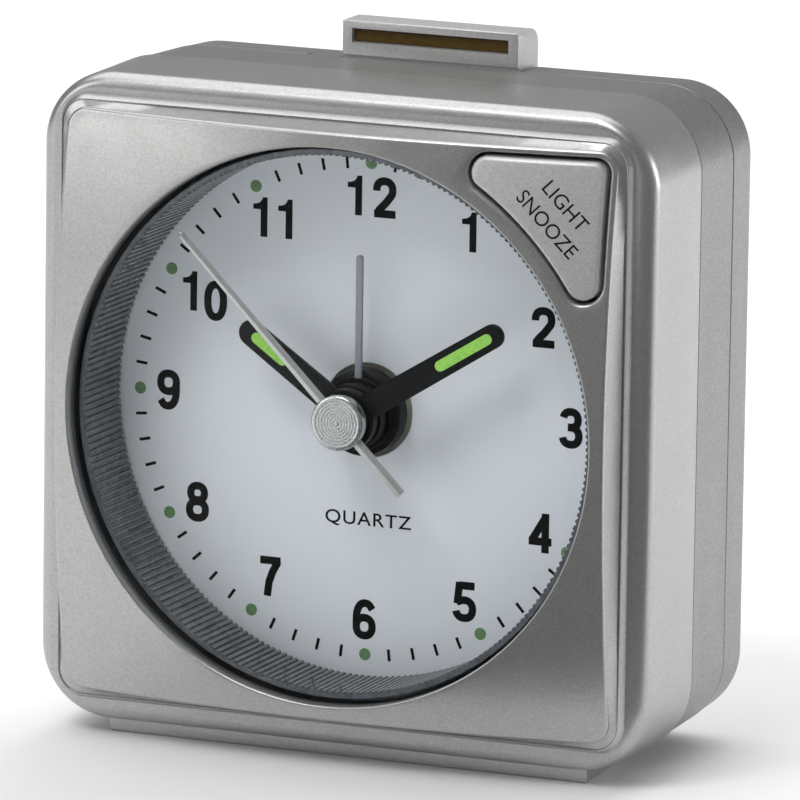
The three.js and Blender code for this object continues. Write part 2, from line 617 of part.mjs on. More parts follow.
function goingTrain() {
    const T = TEETH;
    const backPivot = BOX.back - BOX.wall + PIVOT.depth - 0.1;

    const centreR = pitchRadius(CENTRE, THIRD, T.centre, T.thirdPinion);
    const centreWheel = toothed(T.centre, centreR, 0, ...LAYER.centre);
    place('centre_wheel', cut(centreWheel, disc(0, 30, PIPE.minute[1] + PRESS, SMALL)), BRASS);

    const thirdPinionFirst = inMesh(CENTRE, THIRD, T.centre, T.thirdPinion, 0);
    const thirdR = pitchRadius(THIRD, CENTRE, T.third, T.secondsPinion);
    const third = join(
        toothed(T.third, thirdR, 0, ...LAYER.third),
        toothed(T.thirdPinion, pitchRadius(THIRD, CENTRE, T.thirdPinion, T.centre), thirdPinionFirst,
            LAYER.centre[0] - 0.1, LAYER.third[0] + 0.05),
        disc(BOX.front + BOX.plate - PIVOT.depth + 0.1, backPivot, PIVOT.r, 12),
    );
    place('third_wheel', third, NYLON, THIRD);

    const secondsPinionFirst = inMesh(THIRD, CENTRE, T.third, T.secondsPinion, 0);
    const secondsR = pitchRadius(CENTRE, FIFTH, T.seconds, T.fifthPinion);
    const secondsWheel = join(
        toothed(T.seconds, secondsR, 0, ...LAYER.seconds),
        toothed(T.secondsPinion, pitchRadius(CENTRE, THIRD, T.secondsPinion, T.third), secondsPinionFirst,
            LAYER.seconds[1] - 0.05, LAYER.third[1] + 0.05),
        disc(HAND.second.y0 + 0.02, LAYER.third[1] + 0.1, PIPE.second, 12),
    );
    place('seconds_wheel', secondsWheel, NYLON);

    const fifthPinionFirst = inMesh(CENTRE, FIFTH, T.seconds, T.fifthPinion, 0);
    const fifth = join(
        toothed(T.fifth, pitchRadius(FIFTH, ROTOR, T.fifth, T.rotorPinion), 0, ...LAYER.fifth),
        toothed(T.fifthPinion, pitchRadius(FIFTH, CENTRE, T.fifthPinion, T.seconds), fifthPinionFirst,
            LAYER.seconds[0] - 0.1, LAYER.fifth[0] + 0.05),
        disc(LAYER.fifth[1] - 0.1, backPivot, PIVOT.r, 12),
    );
    place('fifth_wheel', fifth, NYLON, FIFTH);

    const rotorFirst = inMesh(FIFTH, ROTOR, T.fifth, T.rotorPinion, 0);
    const rotor = join(
        toothed(T.rotorPinion, pitchRadius(ROTOR, FIFTH, T.rotorPinion, T.fifth), rotorFirst,
            19.0, LAYER.fifth[1] + 0.1),
        disc(16.9, 19.1, 2.1, SMALL),
        disc(BOX.front + BOX.plate - PIVOT.depth + 0.1, backPivot, PIVOT.r, 12),
    );
    place('rotor', rotor, STEEL, ROTOR);
}

// ---------------------------------------------------------------- movement housing and electrics

function movement() {
    const [left, right] = [-BOX.half, BOX.half];
    const plateBack = BOX.front + BOX.plate;
    const pivots = [IDLER, ALARM_SET, MOTION, TIME_SET, THIRD, ROTOR].map(
        (at) => pin(at.x, at.z, plateBack - PIVOT.depth, plateBack + 1, PIVOT.bore, 12));
    const plate = cut(
        block(left, right, BOX.front, plateBack, BOX.bottom, BOX.top),
        disc(10, 15, PIPE.alarm[1] + RUN, SMALL),
        ...pivots,
    );
    place('movement_plate', plate, NYLON);

    const inside = BOX.back - BOX.wall;
    const backPivots = [THIRD, FIFTH, ROTOR].map(({ x, z }) =>
        pin(x, z, inside - 1, inside + PIVOT.depth, PIVOT.bore, 12));
    const cover = cut(
        block(left, right, plateBack + GAP, BOX.back, BOX.bottom, BOX.top),
        block(left + BOX.wall, right - BOX.wall, 10, inside, BOX.bottom + BOX.wall, BOX.top - BOX.wall),
        pin(-KNOB.x, 0, 20, 24, 1.1 + RUN),
        pin(KNOB.x, 0, 20, 24, 1.1 + RUN),
        ...backPivots,
    );
    place('movement_cover', cover, NYLON);

    const stator = cut(
        block(-9.5, 9.2, 17.6, 18.3, 7.4, 15.6),
        block(-6.0, 2.4, 17, 19, 7.0, 11.6),
        block(-10, -6.6, 17, 19, 7.0, 11.6),
        block(-6.2, 1.6, 17, 19, 12.2, 15.7),
        pin(ROTOR.x, ROTOR.z, 17, 19, 2.55),
    );
    place('stator', stator, STEEL);
    const along = (x0, x1, r) => disc(x0, x1, r, SMALL).rotate([0, 0, -90]).translate([0, 18.9, 14.0]);
    place('coil', join(along(-5.9, 1.3, 0.45), along(-5.4, 0.8, 1.45)), COPPER);

    place('circuit_board', block(-15, 15, 23.2, 24.0, 4.0, 20.0), BOARD);
    place('quartz_crystal', block(8.5, 14.5, 24.3, 25.6, 8.0, 10.0), STEEL);
    place('clock_chip', block(-2.5, 2.5, 24.3, 25.1, 7.0, 12.0), BLACK);
    place('buzzer', join(pin(BUZZER.x, BUZZER.z, BUZZER.y0, BUZZER.y1, BUZZER.r, 32)), BRASS);
}

/** A wire along a curve, as one closed solid. */
function wire(points, r, steps, sides = 6) {
    const path = new THREE.CatmullRomCurve3(points.map((p) => new THREE.Vector3(...p)));
    const section = new THREE.Shape();
    for (let i = 0; i < sides; i++) {
        const t = 2 * Math.PI * i / sides;
        if (i === 0) section.moveTo(r * Math.cos(t), r * Math.sin(t));
        else section.lineTo(r * Math.cos(t), r * Math.sin(t));
    }
    return solid(new THREE.ExtrudeGeometry(section, { steps, extrudePath: path, bevelEnabled: false }));
}

function battery() {
    const lying = (x0, x1, r, segments) =>
        disc(x0, x1, r, segments).rotate([0, 0, -90]).translate([0, CELL.y, CELL.z]);
    const cell = join(
        lying(CELL.x0, CELL.x1, CELL.r, 32),
        lying(CELL.x1 - 0.1, CELL.x1 + CELL.nub, 2.7, SMALL),
    );
    place('battery_cell', cell, CELL_SKIN);
    place('contact_plate', block(26.3, 26.7, 15.5, 23.5, -23.5, -15.5), STEEL);

    const coil = [];
    const [turns, stepsPerTurn] = [3, 8];
    for (let i = 0; i <= turns * stepsPerTurn; i++) {
        const t = i / stepsPerTurn;
        const r = 3.6 - 0.6 * t;
        const angle = 2 * Math.PI * t;
        coil.push([-26.2 + 0.42 * t, CELL.y + r * Math.cos(angle), CELL.z + r * Math.sin(angle)]);
    }
    place('contact_spring', wire(coil, 0.2, turns * stepsPerTurn * 2, 5), STEEL);
    place('contact_base', block(-26.9, -26.6, 15.5, 23.5, -23.5, -15.5), STEEL);
}

caseParts();
buttons();
dialSide();
hands();
setTrain();
goingTrain();
movement();
battery();

export default clock;
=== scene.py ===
"""A silver travel alarm clock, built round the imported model.

Sizes inside the classes are millimetres in the dial's own frame: x to the viewer's right, y from the
plane of the lens rim towards the back, z up, with the origin where the dial's axis meets that plane.
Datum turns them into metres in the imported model's frame.
"""
import logging
import math
from dataclasses import dataclass
from enum import Enum
from typing import Callable, Sequence

import bmesh
import bpy
from mathutils import Matrix, Vector


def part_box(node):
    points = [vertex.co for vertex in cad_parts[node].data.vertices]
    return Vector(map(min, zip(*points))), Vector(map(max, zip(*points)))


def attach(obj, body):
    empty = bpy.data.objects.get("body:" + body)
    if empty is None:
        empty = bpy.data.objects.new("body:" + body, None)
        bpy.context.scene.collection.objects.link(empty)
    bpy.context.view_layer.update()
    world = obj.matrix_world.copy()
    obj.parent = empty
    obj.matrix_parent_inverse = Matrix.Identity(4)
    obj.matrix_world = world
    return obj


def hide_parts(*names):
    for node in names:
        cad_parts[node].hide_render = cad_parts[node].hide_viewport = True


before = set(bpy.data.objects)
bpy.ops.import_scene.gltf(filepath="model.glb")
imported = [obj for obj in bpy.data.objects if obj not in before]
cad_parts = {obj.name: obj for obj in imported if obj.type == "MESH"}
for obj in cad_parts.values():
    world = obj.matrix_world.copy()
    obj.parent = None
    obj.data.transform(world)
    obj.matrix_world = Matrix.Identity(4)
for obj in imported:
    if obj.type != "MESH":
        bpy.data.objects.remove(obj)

log = logging.getLogger("clock")

Pair = tuple[float, float]
Point = tuple[float, float, float]
Colour = tuple[float, float, float]
Ring = list[Point]
Shape = tuple[list[Point], list[tuple[int, ...]]]

MM = 0.001
SHARP = math.radians(32.0)  # an edge with more turn than this stays crisp
WELD = 1e-7  # vertices closer than this, in metres, are one
INK = 0.03  # thickness of printed ink
KNOB_X = 13.5  # each knob's distance from the middle
BAR_X, BAR_HALF = -0.3, 8.4  # the alarm bar's middle and half width


# ------------------------------------------------------------------ places


@dataclass(frozen=True)
class Datum:
    """Where the dial's axis meets the plane of the lens rim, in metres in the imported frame."""

    x: float
    y: float
    z: float

    @staticmethod
    def from_frame() -> "Datum":
        """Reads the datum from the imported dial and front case."""
        low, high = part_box("dial_plate")
        return Datum((low[0] + high[0]) / 2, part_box("front_case")[0][1], (low[2] + high[2]) / 2)

    def world(self, point: Point) -> Point:
        """A point in millimetres in the dial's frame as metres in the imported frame."""
        return (self.x + point[0] * MM, self.y + point[1] * MM, self.z + point[2] * MM)


DATUM = Datum.from_frame()


def smooth_edges(mesh: bpy.types.Mesh, limit: float = SHARP) -> None:
    """Shades a mesh smooth, with edges sharper than a limit kept crisp.

    Args:
        mesh: The mesh to shade.
        limit: Angle between faces, in radians, above which an edge stays crisp.
    """
    work = bmesh.new()
    work.from_mesh(mesh)
    for face in work.faces:
        face.smooth = True
    for edge in work.edges:
        edge.smooth = len(edge.link_faces) == 2 and edge.calc_face_angle(0.0) < limit
    work.to_mesh(mesh)
    work.free()


def new_object(name: str, mesh: bpy.types.Mesh) -> bpy.types.Object:
    """Links a mesh into the scene as an object of that name, at the origin.

    Args:
        name: The object's name.
        mesh: Its mesh.

    Returns:
        The object.
    """
    made = bpy.data.objects.new(name, mesh)
    bpy.context.scene.collection.objects.link(made)
    return made


def mend(mesh: bpy.types.Mesh, weld: float = WELD) -> None:
    """Welds a mesh's doubled vertices and turns its faces outward.

    Args:
        mesh: The mesh to mend.
        weld: Distance in metres within which vertices are one.
    """
    work = bmesh.new()
    work.from_mesh(mesh)
    bmesh.ops.remove_doubles(work, verts=work.verts, dist=weld)
    bmesh.ops.recalc_face_normals(work, faces=work.faces)
    work.to_mesh(mesh)
    work.free()


def make_object(name: str, shape: Shape, limit: float = SHARP) -> bpy.types.Object:
    """Makes an object from a shape in the dial's frame.

    Args:
        name: Name of the object and its mesh.
        shape: Vertices in millimetres, and faces.
        limit: Angle above which an edge stays crisp.

    Returns:
        The object, with its place in its mesh and its faces outward.
    """
    vertices, faces = shape
    mesh = bpy.data.meshes.new(name)
    mesh.from_pydata([DATUM.world(v) for v in vertices], [], faces)
    mend(mesh)
    smooth_edges(mesh, limit)
    return new_object(name, mesh)


class Cut(Enum):
    """What a boolean does with its tool."""

    TAKE_AWAY = "DIFFERENCE"
    ADD = "UNION"


def carve(target: bpy.types.Object, tools: Sequence[bpy.types.Object],
          how: Cut = Cut.TAKE_AWAY) -> None:
    """Cuts or joins tools into a target, and removes them.

    Args:
        target: The object that is changed.
        tools: Closed objects that are used up.
        how: Whether the tools are taken away or added.
    """
    for tool in tools:
        modifier = target.modifiers.new("carve", "BOOLEAN")
        modifier.operation = how.value
        modifier.solver = "EXACT"
        modifier.object = tool
    settle(target)
    for tool in tools:
        bpy.data.meshes.remove(tool.data)
    smooth_edges(target.data)


def settle(target: bpy.types.Object) -> None:
    """Turns an object's modifiers into a plain mesh.

    Args:
        target: The object, which keeps its name.
    """
    graph = bpy.context.evaluated_depsgraph_get()
    graph.update()
    mesh = bpy.data.meshes.new_from_object(target.evaluated_get(graph), depsgraph=graph)
    target.modifiers.clear()
    target.data = mesh
    mesh.name = target.name


# ------------------------------------------------------------------ shapes


def loft(rings: Sequence[Ring], closed: bool = False) -> Shape:
    """Skins rings of equal length.

    Args:
        rings: The rings in order.
        closed: True if the last ring joins the first, as round a frame; else both ends are capped.

    Returns:
        Vertices and faces.
    """
    count = len(rings[0])
    vertices = [point for ring in rings for point in ring]
    faces: list[tuple[int, ...]] = []
    pairs = list(zip(range(len(rings) - 1), range(1, len(rings))))
    if closed:
        pairs.append((len(rings) - 1, 0))
    for here, there in pairs:
        for i in range(count):
            j = (i + 1) % count
            faces.append((here * count + i, here * count + j, there * count + j, there * count + i))
    if not closed:
        faces.append(tuple(reversed(range(count))))
        faces.append(tuple(range((len(rings) - 1) * count, len(rings) * count)))
    return vertices, faces


def moved(shape: Shape, x: float = 0.0, z: float = 0.0, turn: float = 0.0) -> Shape:
    """A shape turned clockwise about the dial's axis by degrees, then moved.

    Args:
        shape: The shape.
        x: How far it moves to the right.
        z: How far it moves up.
        turn: How far it turns first, in degrees.

    Returns:
        The turned and moved shape.
    """
    cosine, sine = math.cos(math.radians(turn)), math.sin(math.radians(turn))
    vertices, faces = shape
    return [(vx * cosine + vz * sine + x, vy, vz * cosine - vx * sine + z)
            for vx, vy, vz in vertices], faces


def lathe(profile: Sequence[Pair], segments: int = 96) -> Shape:
    """A solid turned about the dial's axis.

    Args:
        profile: (radius, y) points; ends on the axis are poles, or else the profile closes on itself.
        segments: Facets round the axis.

    Returns:
        Vertices and faces.
    """
    on_axis = profile[0][0] == 0.0 and profile[-1][0] == 0.0
    angles = [2 * math.pi * i / segments for i in range(segments)]
    rings = [[(radius * math.sin(a), y, radius * math.cos(a)) for a in angles]
             for radius, y in (profile[1:-1] if on_axis else profile)]
    if not on_axis:
        return loft(rings, closed=True)
    vertices, faces = loft(rings)
    faces = faces[:-2]  # the flat caps give way to fans about the poles
    first, last = len(vertices), len(vertices) + 1
    vertices += [(0.0, profile[0][1], 0.0), (0.0, profile[-1][1], 0.0)]
    back = (len(rings) - 1) * segments
    for i in range(segments):
        j = (i + 1) % segments
        faces.append((first, j, i))
        faces.append((last, back + i, back + j))
    return vertices, faces


def rounding(cx: float, cy: float, radius: float, start: float, end: float,
             steps: int = 6) -> list[Pair]:
    """Points on an arc in a profile.

    Args:
        cx: Centre's first coordinate.
        cy: Centre's second coordinate.
        radius: Radius of the arc.
        start: First angle, in degrees.
        end: Last angle, in degrees.
        steps: Segments.

    Returns:
        (first, second) coordinates.
    """
    angles = [math.radians(start + (end - start) * i / steps) for i in range(steps + 1)]
    return [(cx + radius * math.cos(a), cy + radius * math.sin(a)) for a in angles]


@dataclass(frozen=True)
class Square:
    """A square outline with round corners, drawn with the same number of points at any size.

    A side's points look evenly spread from the axis: SPAN is half the angle that a side takes up there.
    """

    half: float
    corner: float

    PER_CORNER = 16
    PER_SIDE = 26
    SPAN = math.radians(42.8)

    def points(self) -> list[tuple[float, float, float, float]]:
        """(x, z, outward x, outward z) round the outline, clockwise from the top side's left end.

        Returns:
            The points in order, the same number at any size.
        """
        flat = self.half - self.corner
        found: list[tuple[float, float, float, float]] = []
        for quarter in range(4):
            turn = quarter * math.pi / 2
            cosine, sine = math.cos(turn), math.sin(turn)

            def put(x: float, z: float, nx: float, nz: float) -> None:
                """Adds a point of the top side or its right corner, turned clockwise by a quarter."""
                found.append((x * cosine + z * sine, z * cosine - x * sine,
                              nx * cosine + nz * sine, nz * cosine - nx * sine))

            for i in range(self.PER_SIDE):
                share = math.tan(self.SPAN * (2 * i / self.PER_SIDE - 1)) / math.tan(self.SPAN)
                put(flat * share, self.half, 0.0, 1.0)
            for i in range(self.PER_CORNER):
                angle = math.pi / 2 * (1 - i / self.PER_CORNER)
                nx, nz = math.cos(angle), math.sin(angle)
                put(flat + self.corner * nx, flat + self.corner * nz, nx, nz)
        return found

    def ring(self, y: float | Callable[[float], float]) -> Ring:
        """The outline as a ring at a depth, or at one that depends on the distance from the axis."""
        depth = y if callable(y) else lambda _: y
        return [(x, depth(math.hypot(x, z)), z) for x, z, _, _ in self.points()]

    def circle(self, radius: float, y: float) -> Ring:
        """A circle with one point for each of the outline's points, in the same direction from the axis."""
        spots = [(x, z, math.hypot(x, z)) for x, z, _, _ in self.points()]
        return [(x / r * radius, y, z / r * radius) for x, z, r in spots]


def prism(outline: Sequence[Pair], front: float, back: float, edge: float = 0.0) -> Shape:
    """An outline in (x, z) filled between two depths, with a small chamfer at its front.

    Args:
        outline: Points round the shape.
        front: Depth of the front face.
        back: Depth of the back face.
        edge: Width of the chamfer round the front, or 0.

    Returns:
        Vertices and faces.
    """
    full = [(x, back, z) for x, z in outline]
    if edge <= 0.0:
        return loft([[(x, front, z) for x, z in outline], full])
    inner = [(x, front, z) for x, z in inset(outline, edge)]
    return loft([inner, [(x, front + edge, z) for x, z in outline], full])


def inset(outline: Sequence[Pair], amount: float) -> list[Pair]:
    """An outline moved inwards along its own normals.

    Args:
        outline: Points round the shape, no two alike.
        amount: How far each side moves.

    Returns:
        The moved points.
    """
    spots = [Vector(point) for point in outline]
    nexts = spots[1:] + spots[:1]
    area = sum(here.x * after.y - after.x * here.y for here, after in zip(spots, nexts))
    inward = 1.0 if area > 0 else -1.0
    shortest_bisector = 0.35  # a sharp corner moves no further than this allows
    found = []
    for i, (here, after) in enumerate(zip(spots, nexts)):
        coming, leaving = (here - spots[i - 1]).normalized(), (after - here).normalized()
        normal = Vector((-coming.y, coming.x))
        bisector = (normal + Vector((-leaving.y, leaving.x))).normalized()
        reach = inward * amount / max(shortest_bisector, bisector.dot(normal))
        found.append((here.x + bisector.x * reach, here.y + bisector.y * reach))
    return found


def tapered(root: float, tip: float, start: float, length: float) -> list[Pair]:
    """A blade's outline up the z axis with a round tip.

    Args:
        root: Half width where the blade starts.
        tip: Half width and radius at the tip.
        start: Distance from the axis to the blade's start.
        length: Distance from the axis to the tip's centre.

    Returns:
        Points round the blade.
    """
    return [(-root, start), (root, start)] + rounding(0.0, length, tip, 0.0, 180.0, 12)


def stadium(z0: float, z1: float, half: float, steps: int = 8) -> list[Pair]:
    """A slot with round ends, up the z axis."""
    return rounding(0.0, z0, half, 180.0, 360.0, steps) + rounding(0.0, z1, half, 0.0, 180.0, steps)


# ------------------------------------------------------------------ finishes


class Nodes:
    """A short hand for making one material's nodes.

    NOISE_BAND is where most of a noise's values lie. COLOUR_A, COLOUR_B and COLOUR_OUT are the places of
    the Mix node's colour sockets, whose names it shares with its other kinds.
    """

    NOISE_BAND = (0.3, 0.7)
    COLOUR_A, COLOUR_B, COLOUR_OUT = 6, 7, 2

    def __init__(self, name: str) -> None:
        """Starts an empty material with a Principled shader.

        Args:
            name: The material's name.
        """
        self.material = bpy.data.materials.new(name)
        self.material.use_nodes = True
        self.tree = self.material.node_tree
        self.tree.nodes.clear()
        self.output = self.tree.nodes.new("ShaderNodeOutputMaterial")
        self.shader = self.tree.nodes.new("ShaderNodeBsdfPrincipled")
        self.link(self.shader.outputs["BSDF"], self.output.inputs["Surface"])
        self.place = self.tree.nodes.new("ShaderNodeTexCoord").outputs["Object"]

    def link(self, start: bpy.types.NodeSocket, end: bpy.types.NodeSocket) -> None:
        """Joins two sockets."""
        self.tree.links.new(start, end)

    def stretched(self, scale: Point, centre: Point = (0.0, 0.0, 0.0)) -> bpy.types.NodeSocket:
        """Object coordinates from a centre, stretched along each axis.

        Args:
            scale: How much each axis is stretched.
            centre: The point that comes to the origin, in metres.

        Returns:
            The stretched coordinates.
        """
        node = self.tree.nodes.new("ShaderNodeMapping")
        node.vector_type = "POINT"
        node.inputs["Location"].default_value = tuple(-c * s for c, s in zip(centre, scale))
        node.inputs["Scale"].default_value = scale
        self.link(self.place, node.inputs["Vector"])
        return node.outputs["Vector"]

    def noise(self, scale: float, detail: float = 2.0,
              at: bpy.types.NodeSocket | None = None) -> bpy.types.NodeSocket:
        """A noise value from 0 to 1.

        Args:
            scale: Lumps in a metre.
            detail: How many finer layers it has.
            at: Coordinates, or None for the plain Object ones.

        Returns:
            The value.
        """
        node = self.tree.nodes.new("ShaderNodeTexNoise")
        node.inputs["Scale"].default_value = scale
        node.inputs["Detail"].default_value = detail
        self.link(at or self.place, node.inputs["Vector"])
        return node.outputs["Fac"]

    def grains(self, scale: float) -> bpy.types.NodeSocket:
        """A random value for each small cell.

        Args:
            scale: Cells in a metre.

        Returns:
            The value.
        """
        node = self.tree.nodes.new("ShaderNodeTexVoronoi")
        node.inputs["Scale"].default_value = scale
        self.link(self.place, node.inputs["Vector"])
        split = self.tree.nodes.new("ShaderNodeSeparateColor")
        self.link(node.outputs["Color"], split.inputs["Color"])
        return split.outputs["Red"]

    def spread(self, value: bpy.types.NodeSocket, low: float, high: float,
               band: Pair = (0.0, 1.0)) -> bpy.types.NodeSocket:
        """A value moved from a band into a range.

        Args:
            value: The value.
            low: Lower end of the range.
            high: Upper end of the range.
            band: The band that becomes the range.

        Returns:
            The moved value.
        """
        node = self.tree.nodes.new("ShaderNodeMapRange")
        limits = {"From Min": band[0], "From Max": band[1], "To Min": low, "To Max": high}
        for key, number in limits.items():
            node.inputs[key].default_value = number
        self.link(value, node.inputs["Value"])
        return node.outputs["Result"]

    def roughen(self, value: bpy.types.NodeSocket, rough: float, less: float, more: float) -> None:
        """Lets the shader's roughness follow a noise, from a little less to a little more."""
        varied = self.spread(value, rough - less, rough + more, self.NOISE_BAND)
        self.link(varied, self.shader.inputs["Roughness"])

    def mixed(self, share: bpy.types.NodeSocket, one: Colour, two: Colour) -> bpy.types.NodeSocket:
        """A colour between two.

        Args:
            share: How much of the second colour shows.
            one: The first colour.
            two: The second colour.

        Returns:
            The colour.
        """
        node = self.tree.nodes.new("ShaderNodeMix")
        node.data_type = "RGBA"
        self.link(share, node.inputs["Factor"])
        node.inputs[self.COLOUR_A].default_value = (*one, 1.0)
        node.inputs[self.COLOUR_B].default_value = (*two, 1.0)
        return node.outputs[self.COLOUR_OUT]

    def colour(self, share: bpy.types.NodeSocket, one: Colour, two: Colour) -> None:
        """Gives the shader a colour between two."""
        self.link(self.mixed(share, one, two), self.shader.inputs["Base Color"])

    def bump(self, height: bpy.types.NodeSocket, distance: float, strength: float = 1.0) -> None:
        """Gives the shader a bump from a height, in metres.

        Args:
            height: The height, from 0 to 1.
            distance: What a height of 1 means, in metres.
            strength: How much of the bump shows.
        """
        node = self.tree.nodes.new("ShaderNodeBump")
        node.inputs["Distance"].default_value = distance
        node.inputs["Strength"].default_value = strength
        self.link(height, node.inputs["Height"])
        self.link(node.outputs["Normal"], self.shader.inputs["Normal"])

    def set(self, **values: float | tuple[float, ...]) -> None:
        """Sets the shader's own sockets, with spaces written as underscores."""
        for key, value in values.items():
            self.shader.inputs[key.replace("_", " ")].default_value = value


@dataclass(frozen=True)
class Paint:
    """Silver paint with fine metal flake over moulded plastic.

    flake and cloud are how many flakes and how many slow changes in gloss lie along a metre, and depth
    is the height of its grain in metres.
    """

    name: str = "silver paint"
    dark: Colour = (0.40, 0.40, 0.395)
    light: Colour = (0.50, 0.50, 0.495)
    metal: float = 0.85
    rough: float = 0.31
    flake: float = 9000.0
    sparkle: float = 0.15
    cloud: float = 300.0
    depth: float = 4e-6

    def make(self) -> bpy.types.Material:
        """Builds the material.

        Returns:
            The material.
        """
        n = Nodes(self.name)
        n.colour(n.grains(self.flake), self.dark, self.light)
        n.roughen(n.noise(self.cloud, 1.0), self.rough, 0.02, 0.03)
        n.bump(n.noise(self.flake * 0.4), self.depth, self.sparkle)
        n.set(Metallic=self.metal)
        return n.material


@dataclass(frozen=True)
class Moulded:
    """A moulded or printed surface with a fine, uneven skin.

    grain is how many grains lie along a metre, depth their height in metres, and sheen how much light
    the surface throws back, with 0.5 for common plastic.
    """

    name: str
    colour: Colour
    shade: Colour
    rough: float = 0.5
    metal: float = 0.0
    grain: float = 2500.0
    depth: float = 4e-6
    coat: float = 0.0
    painted_glow: float = 0.0
    sheen: float = 0.5

    def make(self) -> bpy.types.Material:
        """Builds the material.

        Returns:
            The material.
        """
        n = Nodes(self.name)
        skin = n.noise(self.grain, 4.0)
        n.colour(n.spread(skin, 0.0, 1.0, n.NOISE_BAND), self.shade, self.colour)
        n.roughen(skin, self.rough, 0.04, 0.06)
        n.bump(skin, self.depth)
        n.set(Metallic=self.metal, Coat_Weight=self.coat, Specular_IOR_Level=self.sheen)
        # painted light: the surface gives off light of its own colour, though it is no lamp
        if self.painted_glow > 0.0:
            n.set(Emission_Color=(*self.colour, 1.0), Emission_Strength=self.painted_glow)
        return n.material


@dataclass(frozen=True)
class Turned:
    """Bright metal with tool marks in circles about the dial's axis.

    pitch is the distance between the marks in millimetres, and groove how dark their bottoms are painted, a
    painted shade in each groove.
    """

    name: str = "turned steel"
    colour: Colour = (0.78, 0.78, 0.77)
    rough: float = 0.24
    pitch: float = 0.27
    groove: float = 0.8
    grain: float = 3000.0

    def make(self) -> bpy.types.Material:
        """Builds the material.

        Returns:
            The material.
        """
        n = Nodes(self.name)
        wave = n.tree.nodes.new("ShaderNodeTexWave")
        wave.wave_type = "RINGS"
        wave.rings_direction = "SPHERICAL"
        turn = 20.0  # a Wave texture's phase for each unit of distance at scale 1
        wave.inputs["Scale"].default_value = 2 * math.pi / (turn * self.pitch * MM)
        n.link(n.stretched((1.0, 0.0, 1.0), (DATUM.x, 0.0, DATUM.z)), wave.inputs["Vector"])
        # painted shade: the colour is darker at the bottom of each ring's groove
        n.colour(wave.outputs["Fac"], tuple(c * self.groove for c in self.colour), self.colour)
        n.roughen(n.noise(self.grain), self.rough, 0.04, 0.08)
        n.set(Metallic=1.0)
        return n.material


@dataclass(frozen=True)
class Brushed:
    """Bright or coloured metal with fine streaks along one axis.

    along says how much longer a streak is on each axis, fine how many lie side by side on a metre,
    streak how dark they are and depth how high, in metres.
    """

    name: str
    colour: Colour
    rough: float = 0.3
    along: Point = (1.0, 1.0, 12.0)
    fine: float = 9000.0
    streak: float = 0.82
    depth: float = 2e-6

    def make(self) -> bpy.types.Material:
        """Builds the material.

        Returns:
            The material.
        """
        n = Nodes(self.name)
        streaks = n.noise(1.0, 3.0, n.stretched(tuple(self.fine / a for a in self.along)))
        n.colour(streaks, tuple(c * self.streak for c in self.colour), self.colour)
        n.roughen(streaks, self.rough, 0.08, 0.1)
        n.bump(streaks, self.depth)
        n.set(Metallic=1.0)
        return n.material


@dataclass(frozen=True)
class Clear:
    """Thin clear plastic: seen straight through, with gloss at its surface.

    index is its refractive index, and strength how much of the gloss shows.
    """

    name: str = "clear plastic"
    tint: Colour = (0.97, 0.98, 0.985)
    gloss: float = 0.05
    index: float = 1.45
    strength: float = 0.1
    cloud: float = 400.0

    def make(self) -> bpy.types.Material:
        """Builds the material.

        Returns:
            The material.
        """
        n = Nodes(self.name)
        n.tree.nodes.remove(n.shader)
        through = n.tree.nodes.new("ShaderNodeBsdfTransparent")
        through.inputs["Color"].default_value = (*self.tint, 1.0)
        shine = n.tree.nodes.new("ShaderNodeBsdfGlossy")
        n.link(n.spread(n.noise(self.cloud), self.gloss, self.gloss + 0.03), shine.inputs["Roughness"])
        edge = n.tree.nodes.new("ShaderNodeFresnel")
        edge.inputs["IOR"].default_value = self.index
        mix = n.tree.nodes.new("ShaderNodeMixShader")
        n.link(n.spread(edge.outputs["Fac"], 0.0, self.strength), mix.inputs["Fac"])
        n.link(through.outputs["BSDF"], mix.inputs[1])
        n.link(shine.outputs["BSDF"], mix.inputs[2])
        n.link(mix.outputs["Shader"], n.output.inputs["Surface"])
        return n.material


